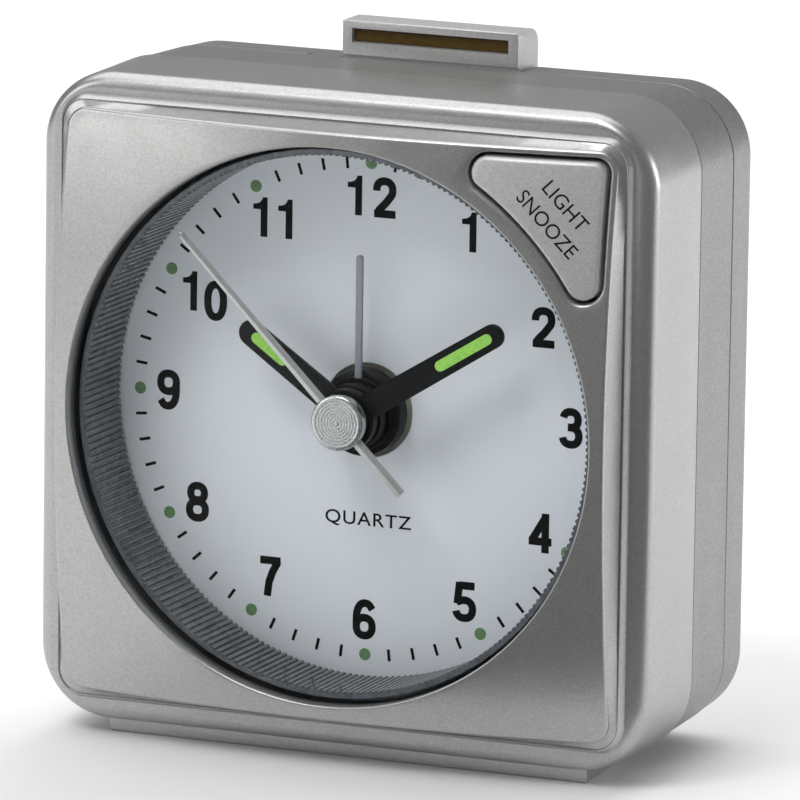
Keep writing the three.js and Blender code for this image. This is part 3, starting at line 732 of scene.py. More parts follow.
class Finishes:
    """The clock's materials, one of each."""

    def __init__(self) -> None:
        """Makes every finish once."""
        self.paint = Paint().make()
        # middle shell, rear cover and door: rougher and grainier than the front's paint, and darker as
        # painted shade for the dimmer light on the walls behind the front seam
        self.shell = Paint("rougher silver with painted shade", (0.25, 0.25, 0.245), (0.36, 0.36, 0.355), metal=0.8,
                           rough=0.38, flake=8000.0, sparkle=0.25).make()
        self.button = Paint("silver button", (0.47, 0.47, 0.465), (0.58, 0.58, 0.575), metal=0.5,
                            rough=0.42, flake=8000.0, sparkle=0.2).make()
        self.lens = Clear().make()
        # the clear ring is painted dark grey: painted shade for the dark inside seen through it
        self.ring = Moulded("clear plastic with painted shade", (0.16, 0.165, 0.18), (0.09, 0.095, 0.105), 0.16,
                            grain=1200.0, depth=2e-6, coat=0.3).make()
        self.lamp = Moulded("frosted bulb", (0.75, 0.78, 0.80), (0.6, 0.63, 0.66), 0.2).make()
        self.dial = Moulded("dial paint", (0.88, 0.90, 0.94), (0.86, 0.88, 0.92), 0.62,
                            grain=5000.0, depth=1e-6).make()
        self.ink = Moulded("black ink", (0.006, 0.006, 0.006), (0.01, 0.01, 0.01), 0.6, sheen=0.15).make()
        self.dots = Moulded("green dots", (0.19, 0.36, 0.16), (0.15, 0.29, 0.12), 0.6).make()
        self.black = Moulded("black plastic", (0.006, 0.006, 0.006), (0.011, 0.011, 0.011), 0.36,
                             sheen=0.22).make()
        # the lime paint has a painted glow that makes it brighter
        self.lime = Moulded("lime paint", (0.34, 0.68, 0.11), (0.24, 0.52, 0.08), 0.55, painted_glow=0.15).make()
        self.grey = Moulded("grey hand", (0.32, 0.33, 0.37), (0.28, 0.29, 0.32), 0.4).make()
        self.satin = Moulded("satin silver hand", (0.66, 0.66, 0.64), (0.60, 0.60, 0.58), 0.34, 0.7,
                             depth=1e-6).make()
        self.bright = Brushed("bright steel", (0.80, 0.80, 0.79), 0.26).make()
        self.cap = Turned().make()
        self.brass = Brushed("brass", (0.72, 0.50, 0.20)).make()
        self.nylon = Moulded("white nylon", (0.80, 0.78, 0.70), (0.72, 0.70, 0.62)).make()
        self.board = Moulded("circuit board", (0.03, 0.18, 0.06), (0.02, 0.12, 0.04), 0.45, coat=0.3).make()
        self.copper = Brushed("copper winding", (0.70, 0.28, 0.12), 0.35, (14.0, 1.0, 1.0)).make()
        self.amber = Moulded("dark amber", (0.105, 0.062, 0.010), (0.075, 0.043, 0.006), 0.35,
                             sheen=0.2).make()
        self.sleeve = Moulded("cell sleeve", (0.03, 0.09, 0.25), (0.02, 0.06, 0.18), 0.3, 0.2,
                              coat=0.4).make()


def dress(piece: bpy.types.Object, material: bpy.types.Material) -> bpy.types.Object:
    """Gives a piece one material.

    Args:
        piece: The piece.
        material: Its material.

    Returns:
        The same piece.
    """
    piece.data.materials.clear()
    piece.data.materials.append(material)
    return piece


def stand_in(piece: bpy.types.Object, body: str, slot: str, *nodes: str) -> None:
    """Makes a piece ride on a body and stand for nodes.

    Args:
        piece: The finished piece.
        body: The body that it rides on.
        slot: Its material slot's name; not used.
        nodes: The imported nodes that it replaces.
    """
    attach(piece, body)
    if nodes:
        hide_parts(*nodes)
    log.info("%s rides on %s, %d faces", piece.name, body, len(piece.data.polygons))


# ------------------------------------------------------------------ repeated pieces


class Stud(Enum):
    """The shape that a radial row repeats."""

    BLOCK = "block"
    ROD = "rod"


@dataclass(frozen=True)
class RadialRow:
    """A row of equal small pieces round an axis, made by Geometry Nodes.

    size is the piece's width across, its depth along y and its length away from the axis. A rod is round
    along y and has its width as its diameter. depth is where the row's middle lies on y. leave_out is 5
    where every fifth spot stays empty, and 0 where all are used.
    """

    name: str
    stud: Stud
    count: int
    radius: float
    depth: float
    size: Point
    centre: tuple[float, float] = (0.0, 0.0)
    leave_out: int = 0
    sides: int = 6

    def tree(self, material: bpy.types.Material) -> bpy.types.NodeTree:
        """Builds the node tree.

        Args:
            material: What the pieces are made of.

        Returns:
            The tree, with named inputs for the row's sizes.
        """
        tree = bpy.data.node_groups.new(self.name, "GeometryNodeTree")
        tree.is_modifier = True
        face = tree.interface
        face.new_socket("Geometry", in_out="OUTPUT", socket_type="NodeSocketGeometry")
        kinds = {"Count": "Int", "Radius": "Float", "Centre": "Vector", "Size": "Vector", "Leave Out": "Int"}
        for label, kind in kinds.items():
            face.new_socket(label, in_out="INPUT", socket_type="NodeSocket" + kind)
        add, link = tree.nodes.new, tree.links.new
        given = add("NodeGroupInput")
        result = add("NodeGroupOutput")

        def maths(operation: str, *values: bpy.types.NodeSocket | float) -> bpy.types.NodeSocket:
            """A Math node on sockets and numbers.

            Args:
                operation: What the node works out.
                values: Its inputs, in order.

            Returns:
                Its result.
            """
            node = add("ShaderNodeMath")
            node.operation = operation
            for i, value in enumerate(values):
                if isinstance(value, (int, float)):
                    node.inputs[i].default_value = value
                else:
                    link(value, node.inputs[i])
            return node.outputs[0]

        index = add("GeometryNodeInputIndex").outputs[0]
        angle = maths("MULTIPLY", maths("DIVIDE", index, given.outputs["Count"]), 2 * math.pi)
        spot = add("ShaderNodeCombineXYZ")
        link(maths("MULTIPLY", maths("SINE", angle), given.outputs["Radius"]), spot.inputs["X"])
        link(maths("MULTIPLY", maths("COSINE", angle), given.outputs["Radius"]), spot.inputs["Z"])
        shift = add("ShaderNodeVectorMath")
        shift.operation = "ADD"
        link(spot.outputs[0], shift.inputs[0])
        link(given.outputs["Centre"], shift.inputs[1])
        points = add("GeometryNodePoints")
        link(given.outputs["Count"], points.inputs["Count"])
        link(shift.outputs[0], points.inputs["Position"])

        size = add("ShaderNodeSeparateXYZ")
        link(given.outputs["Size"], size.inputs[0])
        if self.stud is Stud.BLOCK:
            shape = add("GeometryNodeMeshCube")
            link(given.outputs["Size"], shape.inputs["Size"])
            piece = shape.outputs["Mesh"]
        else:
            shape = add("GeometryNodeMeshCylinder")
            shape.inputs["Vertices"].default_value = self.sides
            link(maths("MULTIPLY", size.outputs["X"], 0.5), shape.inputs["Radius"])
            link(size.outputs["Y"], shape.inputs["Depth"])
            tip = add("GeometryNodeTransform")
            tip.inputs["Rotation"].default_value = (math.pi / 2, 0.0, 0.0)
            link(shape.outputs["Mesh"], tip.inputs["Geometry"])
            piece = tip.outputs["Geometry"]

        turn = add("ShaderNodeCombineXYZ")
        link(angle, turn.inputs["Y"])
        # every spot whose number "Leave Out" divides stays empty, and none does if that is 0
        spacing = maths("MAXIMUM", given.outputs["Leave Out"], 1.0)
        is_gap = maths("LESS_THAN", maths("MODULO", index, spacing), 0.5)
        used = maths("MULTIPLY", is_gap, maths("GREATER_THAN", given.outputs["Leave Out"], 0.5))
        place = add("GeometryNodeInstanceOnPoints")
        link(points.outputs[0], place.inputs["Points"])
        link(piece, place.inputs["Instance"])
        link(turn.outputs[0], place.inputs["Rotation"])
        link(maths("SUBTRACT", 1.0, used), place.inputs["Selection"])
        real = add("GeometryNodeRealizeInstances")
        link(place.outputs["Instances"], real.inputs["Geometry"])
        paint = add("GeometryNodeSetMaterial")
        paint.inputs["Material"].default_value = material
        link(real.outputs["Geometry"], paint.inputs["Geometry"])
        link(paint.outputs["Geometry"], result.inputs["Geometry"])
        return tree

    def build(self, material: bpy.types.Material) -> bpy.types.Object:
        """Makes the row as a plain mesh.

        Args:
            material: What the pieces are made of.

        Returns:
            The object.
        """
        tree = self.tree(material)
        made = new_object(self.name, bpy.data.meshes.new(self.name))
        modifier = made.modifiers.new("row", "NODES")
        modifier.node_group = tree
        values = {
            "Count": self.count,
            "Radius": self.radius * MM,
            "Centre": DATUM.world((self.centre[0], self.depth, self.centre[1])),
            "Size": tuple(s * MM for s in self.size),
            "Leave Out": self.leave_out,
        }
        for item in tree.interface.items_tree:
            if item.in_out == "INPUT":
                modifier[item.identifier] = values[item.name]
        settle(made)
        smooth_edges(made.data)
        return made


def merge(name: str, pieces: Sequence[bpy.types.Object]) -> bpy.types.Object:
    """Joins finished pieces into one object, with their materials.

    Args:
        name: Name of the result.
        pieces: The objects, of which the first one stays.

    Returns:
        The object.
    """
    for piece in bpy.context.selected_objects:
        piece.select_set(False)
    for piece in pieces:
        piece.select_set(True)
    bpy.context.view_layer.objects.active = pieces[0]
    with bpy.context.temp_override(active_object=pieces[0], selected_editable_objects=list(pieces)):
        bpy.ops.object.join()
    pieces[0].name = name
    pieces[0].data.name = name
    pieces[0].select_set(False)
    return pieces[0]


@dataclass(frozen=True)
class Lettering:
    """A short word as thin raised ink.

    x and z are its middle, height the height of its capitals and total its length. weight thickens the
    strokes, and turn is clockwise in degrees.
    """

    words: str
    x: float
    z: float
    height: float
    total: float
    weight: float = 0.0
    turn: float = 0.0
    spacing: float = 1.0

    def build(self, surface: Callable[[float, float], float],
              material: bpy.types.Material) -> bpy.types.Object:
        """Makes the letters lie on a surface.

        Args:
            surface: Depth of the surface at (x, z), in millimetres.
            material: The ink.

        Returns:
            The object.
        """
        curve = bpy.data.curves.new(self.words, "FONT")
        curve.body = self.words
        curve.size = 1.0
        curve.offset = self.weight
        curve.space_character = self.spacing
        curve.extrude = 0.5  # to both sides, so the letters are one unit thick before they are scaled
        curve.resolution_u = 5
        text = bpy.data.objects.new(self.words, curve)
        bpy.context.scene.collection.objects.link(text)
        graph = bpy.context.evaluated_depsgraph_get()
        graph.update()
        mesh = bpy.data.meshes.new_from_object(text.evaluated_get(graph), depsgraph=graph)
        bpy.data.objects.remove(text)
        xs = [v.co.x for v in mesh.vertices]
        ys = [v.co.y for v in mesh.vertices]
        across, up = self.total / (max(xs) - min(xs)), self.height / (max(ys) - min(ys))
        middle_x, middle_y = (max(xs) + min(xs)) / 2, (max(ys) + min(ys)) / 2
        cosine, sine = math.cos(math.radians(self.turn)), math.sin(math.radians(self.turn))
        for vertex in mesh.vertices:
            a, b = (vertex.co.x - middle_x) * across, (vertex.co.y - middle_y) * up
            x, z = self.x + a * cosine + b * sine, self.z - a * sine + b * cosine
            vertex.co = DATUM.world((x, surface(x, z) - vertex.co.z * INK, z))
        made = new_object(self.words, mesh)
        mend(mesh, WELD / 10)
        return dress(made, material)


@dataclass(frozen=True)
class Numeral:
    """A bold upright digit, drawn with strokes in a box one unit high and about 0.6 wide."""

    digit: str
    x: float
    z: float
    height: float
    stroke: float = 0.2

    MIDDLE = (0.31, 0.5)
    SQUARENESS = 0.88
    ONE = ((0.44, 0.0), (0.44, 1.0), (0.31, 1.0), (0.285, 0.93), (0.235, 0.87), (0.16, 0.835),
           (0.05, 0.82), (0.05, 0.69), (0.255, 0.69), (0.255, 0.0))

    @classmethod
    def oval(cls, centre: Pair, half: Pair, start: float, end: float, steps: int = 24) -> list[Pair]:
        """Points on part of an oval a little squarer than an ellipse.

        Args:
            centre: Its middle.
            half: Its half width and half height.
            start: First angle, in degrees.
            end: Last angle, in degrees.
            steps: Segments.

        Returns:
            The points in order.
        """

        def pulled(value: float) -> float:
            """A sine or cosine pushed towards the oval's corners."""
            return math.copysign(abs(value) ** cls.SQUARENESS, value)

        angles = [math.radians(start + (end - start) * i / steps) for i in range(steps + 1)]
        return [(centre[0] + half[0] * pulled(math.cos(a)), centre[1] + half[1] * pulled(math.sin(a)))
                for a in angles]

    def paths(self) -> list[list[Pair]]:
        """The middle lines of the digit's strokes; a path that ends where it starts is a loop.

        Returns:
            The middle lines in the unit box.
        """
        oval = self.oval
        six = [oval((0.31, 0.315), (0.215, 0.228), 0.0, 360.0, 32),
               [(0.095, 0.33), *oval((0.33, 0.50), (0.235, 0.415), 172.0, 62.0, 16), (0.525, 0.765)]]
        table = {
            "0": [oval((0.31, 0.5), (0.215, 0.412), 0.0, 360.0, 40)],
            "2": [[*oval((0.30, 0.69), (0.215, 0.222), 186.0, -30.0), (0.33, 0.36), (0.16, 0.19),
                   (0.105, 0.06)], [(0.02, 0.088), (0.60, 0.088)]],
            "3": [[*oval((0.295, 0.715), (0.195, 0.197), 170.0, -88.0, 20), (0.22, 0.52)],
                  [(0.22, 0.52), *oval((0.30, 0.303), (0.218, 0.215), 88.0, -170.0, 22)]],
            "4": [[(0.44, 0.0), (0.44, 1.0)], [(0.0, 0.285), (0.61, 0.285)], [(0.075, 0.29), (0.44, 0.90)]],
            "5": [[(0.155, 0.912), (0.57, 0.912)], [(0.165, 0.99), (0.105, 0.44)],
                  [(0.11, 0.50), *oval((0.295, 0.315), (0.225, 0.228), 128.0, -168.0, 26)]],
            "6": six,
            "7": [[(0.02, 0.912), (0.58, 0.912)],
                  [(0.515, 0.90), (0.36, 0.62), (0.27, 0.36), (0.225, 0.0)]],
            "8": [oval((0.31, 0.728), (0.188, 0.184), 0.0, 360.0, 30),
                  oval((0.31, 0.298), (0.218, 0.21), 0.0, 360.0, 30)],
            "9": [[(2 * self.MIDDLE[0] - x, 2 * self.MIDDLE[1] - y) for x, y in path] for path in six],
        }
        return table[self.digit]

    def spot(self, x: float, y: float) -> Pair:
        """A point of the unit box as (x, z) on the dial."""
        return (self.x + (x - self.MIDDLE[0]) * self.height, self.z + (y - self.MIDDLE[1]) * self.height)

    def ribbon(self, path: Sequence[Pair], front: float, back: float) -> Shape:
        """One stroke as a flat solid.

        Args:
            path: Middle line in the unit box.
            front: Depth of the ink's face.
            back: Depth behind the ink.

        Returns:
            The stroke's shape in millimetres.
        """
        looped = math.dist(path[0], path[-1]) < 1e-6
        points = path[:-1] if looped else path
        rings = []
        for i, (x, y) in enumerate(points):
            before = points[i - 1] if looped or i > 0 else points[i]
            after = points[(i + 1) % len(points)] if looped or i < len(points) - 1 else points[i]
            along = Vector((after[0] - before[0], after[1] - before[1])).normalized()
            side = Vector((-along.y, along.x)) * self.stroke / 2
            (ax, az), (bx, bz) = self.spot(x + side.x, y + side.y), self.spot(x - side.x, y - side.y)
            rings.append([(ax, front, az), (bx, front, bz), (bx, back, bz), (ax, back, az)])
        return loft(rings, closed=looped)

    def build(self, plane: float, material: bpy.types.Material) -> bpy.types.Object:
        """Makes the digit on the dial's face, its strokes joined in one solid.

        Args:
            plane: Depth of the dial's face.
            material: The ink.

        Returns:
            The object.
        """
        name = f"numeral {self.digit}"
        front, back = plane - INK / 2, plane + INK / 2
        if self.digit == "1":
            outline = [self.spot(x, y) for x, y in self.ONE]
            return dress(make_object(name, prism(outline, front, back)), material)
        strokes = [make_object(name, self.ribbon(path, front, back)) for path in self.paths()]
        if len(strokes) > 1:
            carve(strokes[0], strokes[1:], Cut.ADD)
        return dress(strokes[0], material)


# ------------------------------------------------------------------ case


@dataclass
class Face:
    """The domed face and its two openings, shared by the case and the button.

    The button's outline has an arc about the dial's axis, a top and a right side with a corner between
    them, and a round end where each side meets the arc.
    """

    radius: float = 131.0
    opening: float = 24.54
    snooze_arc: float = 25.95
    snooze_right: float = 25.2
    snooze_top: float = 25.25
    snooze_corner: float = 1.4
    snooze_end: float = 1.7

    SIDE_STEPS = 14
    CORNER_STEPS = 10
    ARC_STEPS = 28

    def depth(self, r: float) -> float:
        """Depth of the dome at a distance from the axis."""
        return (r * r - self.opening ** 2) / (2 * self.radius)

    def snooze(self, shrink: float) -> list[Pair]:
        """The button's outline, drawn in by a distance, always with the same number of points.

        Args:
            shrink: How far it is drawn in, or grown where it is negative.

        Returns:
            Points round the outline.
        """
        arc, sides = self.snooze_arc + shrink, self.SIDE_STEPS
        right, top = self.snooze_right - shrink, self.snooze_top - shrink
        corner, end = self.snooze_corner - shrink, self.snooze_end - shrink
        left_x = math.sqrt((arc + end) ** 2 - (top - end) ** 2)
        low_z = math.sqrt((arc + end) ** 2 - (right - end) ** 2)
        low = math.degrees(math.atan2(low_z, right - end))
        high = math.degrees(math.atan2(top - end, left_x))
        across, down = right - corner - left_x, top - corner - low_z
        points = [(left_x + across * i / sides, top) for i in range(sides)]
        points += rounding(right - corner, top - corner, corner, 90.0, 0.0, self.CORNER_STEPS)
        points += [(right, top - corner - down * i / sides) for i in range(1, sides)]
        points += rounding(right - end, low_z, end, 0.0, low - 180.0, sides)
        points += rounding(0.0, 0.0, arc, low, high, self.ARC_STEPS)[1:-1]
        points += rounding(left_x, top - end, end, high - 180.0, -270.0, sides)[:-1]
        return points


@dataclass
class CaseShell:
    """The three shells, the battery door and the foot.

    Half widths and corners are those of the outline, and front_seam, rear_seam, back, ledge, shelf and
    floor are depths. draft is what the front shell loses from its seam to its far edge.
    """

    finishes: Finishes
    face: Face
    half: float = 29.0
    corner: float = 6.8
    wall: float = 1.6
    draft: float = 0.15
    panel: Square = Square(25.87, 1.9)
    panel_foot: Square = Square(26.42, 2.2)
    foot_depth: float = 3.02
    fillet: float = 0.35
    rim: float = 0.18
    ledge: float = 3.66
    ledge_corner: float = 4.3
    ledge_round: float = 1.35
    shelf: float = 5.0
    front_seam: float = 14.2
    seam_round: float = 0.3
    rear_seam: float = 22.5
    gap: float = 0.12
    bevel: float = 0.16
    back: float = 28.8
    back_round: float = 2.0
    inside: float = 20.0
    screw_x: float = 23.4
    screw_z: float = 8.2
    door_half: float = 25.9
    door_low: float = -26.0
    door_high: float = -12.4
    door_corner: float = 4.0
    door_floor: float = 27.3

    # half width, depth and corner of the groove and the ledge round the panel, from the panel outwards
    GROOVE = ((26.45, 3.04, 2.2), (26.5, 2.96, 2.25), (26.55, 2.95, 2.3), (26.61, 3.0, 2.35),
              (26.85, 3.58, 2.5), (26.9, 3.65, 2.55), (27.0, 3.66, 2.7), (27.4, 3.66, 4.1))
    # how far outwards and how deep under the dome the soft edge of the button's opening runs
    BUTTON_EDGE = ((0.30, -1.5), (0.30, -0.02), (0.16, 0.05), (0.05, 0.16), (0.0, 0.30))

    def panel_rings(self) -> list[Ring]:
        """Rings from the opening's inner wall over the dome and down the panel's side wall.

        Returns:
            The rings, from the inside outwards.
        """
        depth, opening, rim = self.face.depth, self.face.opening, self.rim
        rings = [self.panel.circle(opening, self.wall)]
        for r, y in rounding(opening + rim, rim, rim, 180.0, 270.0, 5):
            rings.append(self.panel.circle(r, y + depth(r)))
        inner = Square(self.panel.half - self.fillet, self.panel.corner - self.fillet)
        rim_circle, edge = rings[-1], inner.ring(depth)
        steps = 12
        for i in range(1, steps + 1):
            spots = [(x0 + (x1 - x0) * i / steps, z0 + (z1 - z0) * i / steps)
                     for (x0, _, z0), (x1, _, z1) in zip(rim_circle, edge)]
            rings.append([(x, depth(math.hypot(x, z)), z) for x, z in spots])
        steps = 6
        for i in range(1, steps + 1):
            angle = math.pi / 2 * i / steps
            out, down = self.fillet * math.sin(angle), self.fillet * (1 - math.cos(angle))
            rings.append([(x + nx * out, depth(math.hypot(x, z)) + down, z + nz * out)
                          for x, z, nx, nz in inner.points()])
        rings.append(self.panel_foot.ring(self.foot_depth))
        return rings

    def front(self) -> bpy.types.Object:
        """The front shell: domed panel, stepped edge, side walls, and the button's opening.

        Returns:
            The object.
        """
        rings = self.panel_rings()
        rings += [Square(half, corner).ring(y) for half, y, corner in self.GROOVE]
        widest, roundest, steps = self.half - self.draft, self.corner - self.draft, 10
        for i in range(steps + 1):
            angle = math.pi / 2 * i / steps
            half = widest - self.ledge_round * (1 - math.sin(angle))
            corner = self.ledge_corner + (roundest - self.ledge_corner) * math.sin(angle)
            rings.append(Square(half, corner).ring(self.ledge + self.ledge_round * (1 - math.cos(angle))))
        turn = self.seam_round
        for down, y in rounding(turn, self.front_seam - turn, turn, 180.0, 90.0, 5):
            rings.append(Square(self.half - down, self.corner - down).ring(y))
        inner = Square(self.half - self.wall, self.corner - self.wall)
        lining = Square(self.panel.half - 0.6, self.panel.corner)
        rings += [inner.ring(self.front_seam), inner.ring(self.shelf), lining.ring(self.shelf),
                  lining.ring(lambda r: self.face.depth(r) + self.wall)]
        case = make_object("front_shell", loft(rings, closed=True))
        carve(case, [self.snooze_cutter()])
        return dress(case, self.finishes.paint)

    def snooze_cutter(self) -> bpy.types.Object:
        """The solid taken out for the button, with a soft edge where it meets the dome.

        Returns:
            The solid.
        """
        rings = [[(x, self.face.depth(math.hypot(x, z)) + y, z) for x, z in self.face.snooze(-grow)]
                 for grow, y in self.BUTTON_EDGE]
        behind = self.shelf + 4.0
        rings.append([(x, behind, z) for x, z in self.face.snooze(0.0)])
        return make_object("snooze cutter", loft(rings))

    def middle(self) -> bpy.types.Object:
        """The band between the seams, a little inside the front shell and narrowing to the rear.

        Returns:
            The object.
        """
        front, rear = self.front_seam + self.gap, self.rear_seam
        wide, narrow, inner = self.half - 0.14, self.half - 0.36, self.half - 1.7
        sections = [(wide - self.bevel, front, 6.55), (wide, front + self.bevel, 6.7),
                    (narrow, rear - 0.14, 6.6), (narrow - 0.14, rear, 6.5), (inner, rear, 4.3),
                    (inner, front, 4.3)]
        rings = [Square(half, corner).ring(y) for half, y, corner in sections]
        return dress(make_object("middle_shell", loft(rings, closed=True)), self.finishes.shell)

    def rear(self) -> bpy.types.Object:
        """The rear cover with its rounded edge and all its openings.

        Returns:
            The object.
        """
        front = self.rear_seam + self.gap
        half, corner, taper = self.half - 0.42, self.corner - 0.25, 0.2
        sections = [(half - self.bevel, front, corner - 0.14), (half, front + self.bevel, corner)]
        steps = 10
        for i in range(steps + 1):
            angle = math.pi / 2 * i / steps
            shrink = taper + self.back_round * (1 - math.cos(angle))
            y = self.back - self.back_round * (1 - math.sin(angle))
            sections.append((half - shrink, y, corner - shrink))
        cover = make_object("rear_shell", loft([Square(h, c).ring(y) for h, y, c in sections]))
        inner = Square(self.half - self.wall - 0.2, 4.2)
        hollow = loft([inner.ring(self.inside / 2), inner.ring(self.back - self.wall)])
        carve(cover, [make_object("hollow", hollow), *self.rear_cutters()])
        return dress(cover, self.finishes.shell)

    def rear_cutters(self) -> list[bpy.types.Object]:
        """The solids taken out of the rear cover.

        Returns:
            The solids.
        """
        start, beyond = self.inside, self.back + 2.0
        cutters = [make_object("door cutter", prism(self.door_outline(0.2), start, beyond))]
        shaft = [(0.0, start), (1.5, start), (1.5, 32.0), (0.0, 32.0)]
        for x in (-KNOB_X, KNOB_X):
            cutters.append(make_object("knob hole", moved(lathe(shaft, 32), x)))
        slot_x, slot_z, pitch = -16.0, 16.5, 2.2
        for i in range(-2, 3):
            slot = [(slot_x + x, slot_z + i * pitch + z) for z, x in stadium(-3.6, 3.6, 0.42)]
            cutters.append(make_object("sounder slot", prism(slot, start, beyond)))
        well = [(0.0, start), (1.3, start), (1.3, 26.4), (2.2, 26.4), (2.2, 28.6), (2.45, 28.85),
                (2.45, 31.0), (0.0, 31.0)]
        for x in (-self.screw_x, self.screw_x):
            for z in (-self.screw_z, self.screw_z):
                cutters.append(make_object("screw well", moved(lathe(well, 40), x, z)))
        left, right, above = BAR_X - BAR_HALF - 0.25, BAR_X + BAR_HALF + 0.25, 34.0
        notch = [(left, 23.0), (right, 23.0), (right, above), (left, above)]
        cutters.append(make_object("bar notch", prism(notch, start, self.back - 1.0)))
        recess = [(-12.0, 28.5), (12.0, 28.5), (12.6, above), (-12.6, above)]
        cutters.append(make_object("bar recess", prism(recess, start, self.back + 3.2)))
        return cutters

    def door_outline(self, grow: float) -> list[Pair]:
        """The battery door's outline, grown by a distance.

        Args:
            grow: How far it is grown.

        Returns:
            Points round the outline.
        """
        half, low, r = self.door_half + grow, self.door_low - grow, self.door_corner + grow
        points = [(-half, self.door_high + grow), (half, self.door_high + grow)]
        points += rounding(half - r, low + r, r, 0.0, -90.0, 10)
        points += rounding(-half + r, low + r, r, -90.0, -180.0, 10)
        return points

    def door(self) -> bpy.types.Object:
        """The battery door, with a row of finger grooves and a chamfered outer edge.

        Returns:
            The object.
        """
        outline, edge = self.door_outline(0.0), 0.2
        rings = [[(x, self.door_floor, z) for x, z in outline],
                 [(x, self.back - edge, z) for x, z in outline],
                 [(x, self.back, z) for x, z in inset(outline, edge)]]
        door = make_object("battery_cover", loft(rings))
        half, first, pitch, high, deep = 6.0, -15.2, 0.9, 0.4, 0.25
        grooves = []
        for i in range(5):
            low = first - i * pitch
            groove = [(-half, low), (half, low), (half, low + high), (-half, low + high)]
            solid = prism(groove, self.back - deep, self.back + 1.0)
            grooves.append(make_object("finger groove", solid))
        carve(door, grooves)
        return dress(door, self.finishes.shell)

    def foot(self) -> bpy.types.Object:
        """The strip that the clock stands on, a little narrower at its back.

        Returns:
            The object.
        """
        front, back, wide, narrow, edge = 5.64, 24.0, 22.7, 21.6, 0.12
        low, high = (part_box("base_foot")[0][2] - DATUM.z) / MM, 0.02 - self.half

        def level(shrink: float, z: float) -> Ring:
            """The strip's outline at a height, drawn in by a distance."""
            return [(-wide + shrink, front + shrink, z), (wide - shrink, front + shrink, z),
                    (narrow - shrink, back - shrink, z), (-narrow + shrink, back - shrink, z)]

        rings = [level(edge, low), level(0.0, low + edge), level(0.0, high)]
        return dress(make_object("foot_strip", loft(rings)), self.finishes.paint)

    def build(self) -> None:
        """Builds and places every part of the case."""
        stand_in(self.front(), "case", "shell_silver", "front_case")
        stand_in(self.middle(), "case", "shell_silver", "middle_case")
        stand_in(self.rear(), "case", "shell_silver", "rear_cover")
        stand_in(self.door(), "door", "shell_silver", "battery_door")
        stand_in(self.foot(), "case", "shell_silver", "base_foot")


# ------------------------------------------------------------------ buttons


@dataclass
class SnoozeButton:
    """The snooze and light button.

    gap is the play round it and proud how far it stands out of the dome. crown is the swelling in its
    middle, which runs out at crown_reach from its heart.
    """

    finishes: Finishes
    face: Face
    gap: float = 0.3
    proud: float = 0.02
    fillet: float = 0.4
    crown: float = 0.35
    crown_reach: float = 8.5
    heart: Pair = (20.6, 20.6)
    back: float = 6.5

    def surface(self, x: float, z: float) -> float:
        """Depth of the button's face at a spot.

        Args:
            x: Across the dial.
            z: Up the dial.

        Returns:
            The depth.
        """
        away = math.hypot(x - self.heart[0], z - self.heart[1])
        swelling = self.crown * max(0.0, 1.0 - (away / self.crown_reach) ** 2)
        return self.face.depth(math.hypot(x, z)) - swelling - self.proud

    def cap(self) -> bpy.types.Object:
        """The cap, with a rounded edge and a crowned face.

        Returns:
            The object.
        """
        outer = self.face.snooze(self.gap)
        inner = self.face.snooze(self.gap + self.fillet)
        rings = [[(x, self.back, z) for x, z in outer],
                 [(x, self.surface(x, z) + self.fillet, z) for x, z in outer]]
        steps = 6
        for i in range(1, steps + 1):
            angle = math.pi / 2 * i / steps
            share, lift = 1 - math.cos(angle), self.fillet * (1 - math.sin(angle))
            spots = [(x0 + (x1 - x0) * share, z0 + (z1 - z0) * share)
                     for (x0, z0), (x1, z1) in zip(outer, inner)]
            rings.append([(x, self.surface(x, z) + lift, z) for x, z in spots])
        heart_x, heart_z = self.heart
        steps = 9
        for i in range(1, steps):
            share = 1 - i / steps
            spots = [(heart_x + (x - heart_x) * share, heart_z + (z - heart_z) * share) for x, z in inner]
            rings.append([(x, self.surface(x, z), z) for x, z in spots])
        return dress(make_object("snooze_cap", loft(rings)), self.finishes.button)

    def build(self) -> None:
        """Builds the cap and its lettering."""
        stand_in(self.cap(), "snooze", "shell_silver", "snooze_button")
        words = [Lettering("LIGHT", 21.75, 21.15, 1.25, 5.0, turn=45.0),
                 Lettering("SNOOZE", 20.25, 19.55, 1.25, 7.0, turn=45.0)]
        ink = merge("snooze_words", [w.build(self.surface, self.finishes.ink) for w in words])
        stand_in(ink, "snooze", "black_plastic")


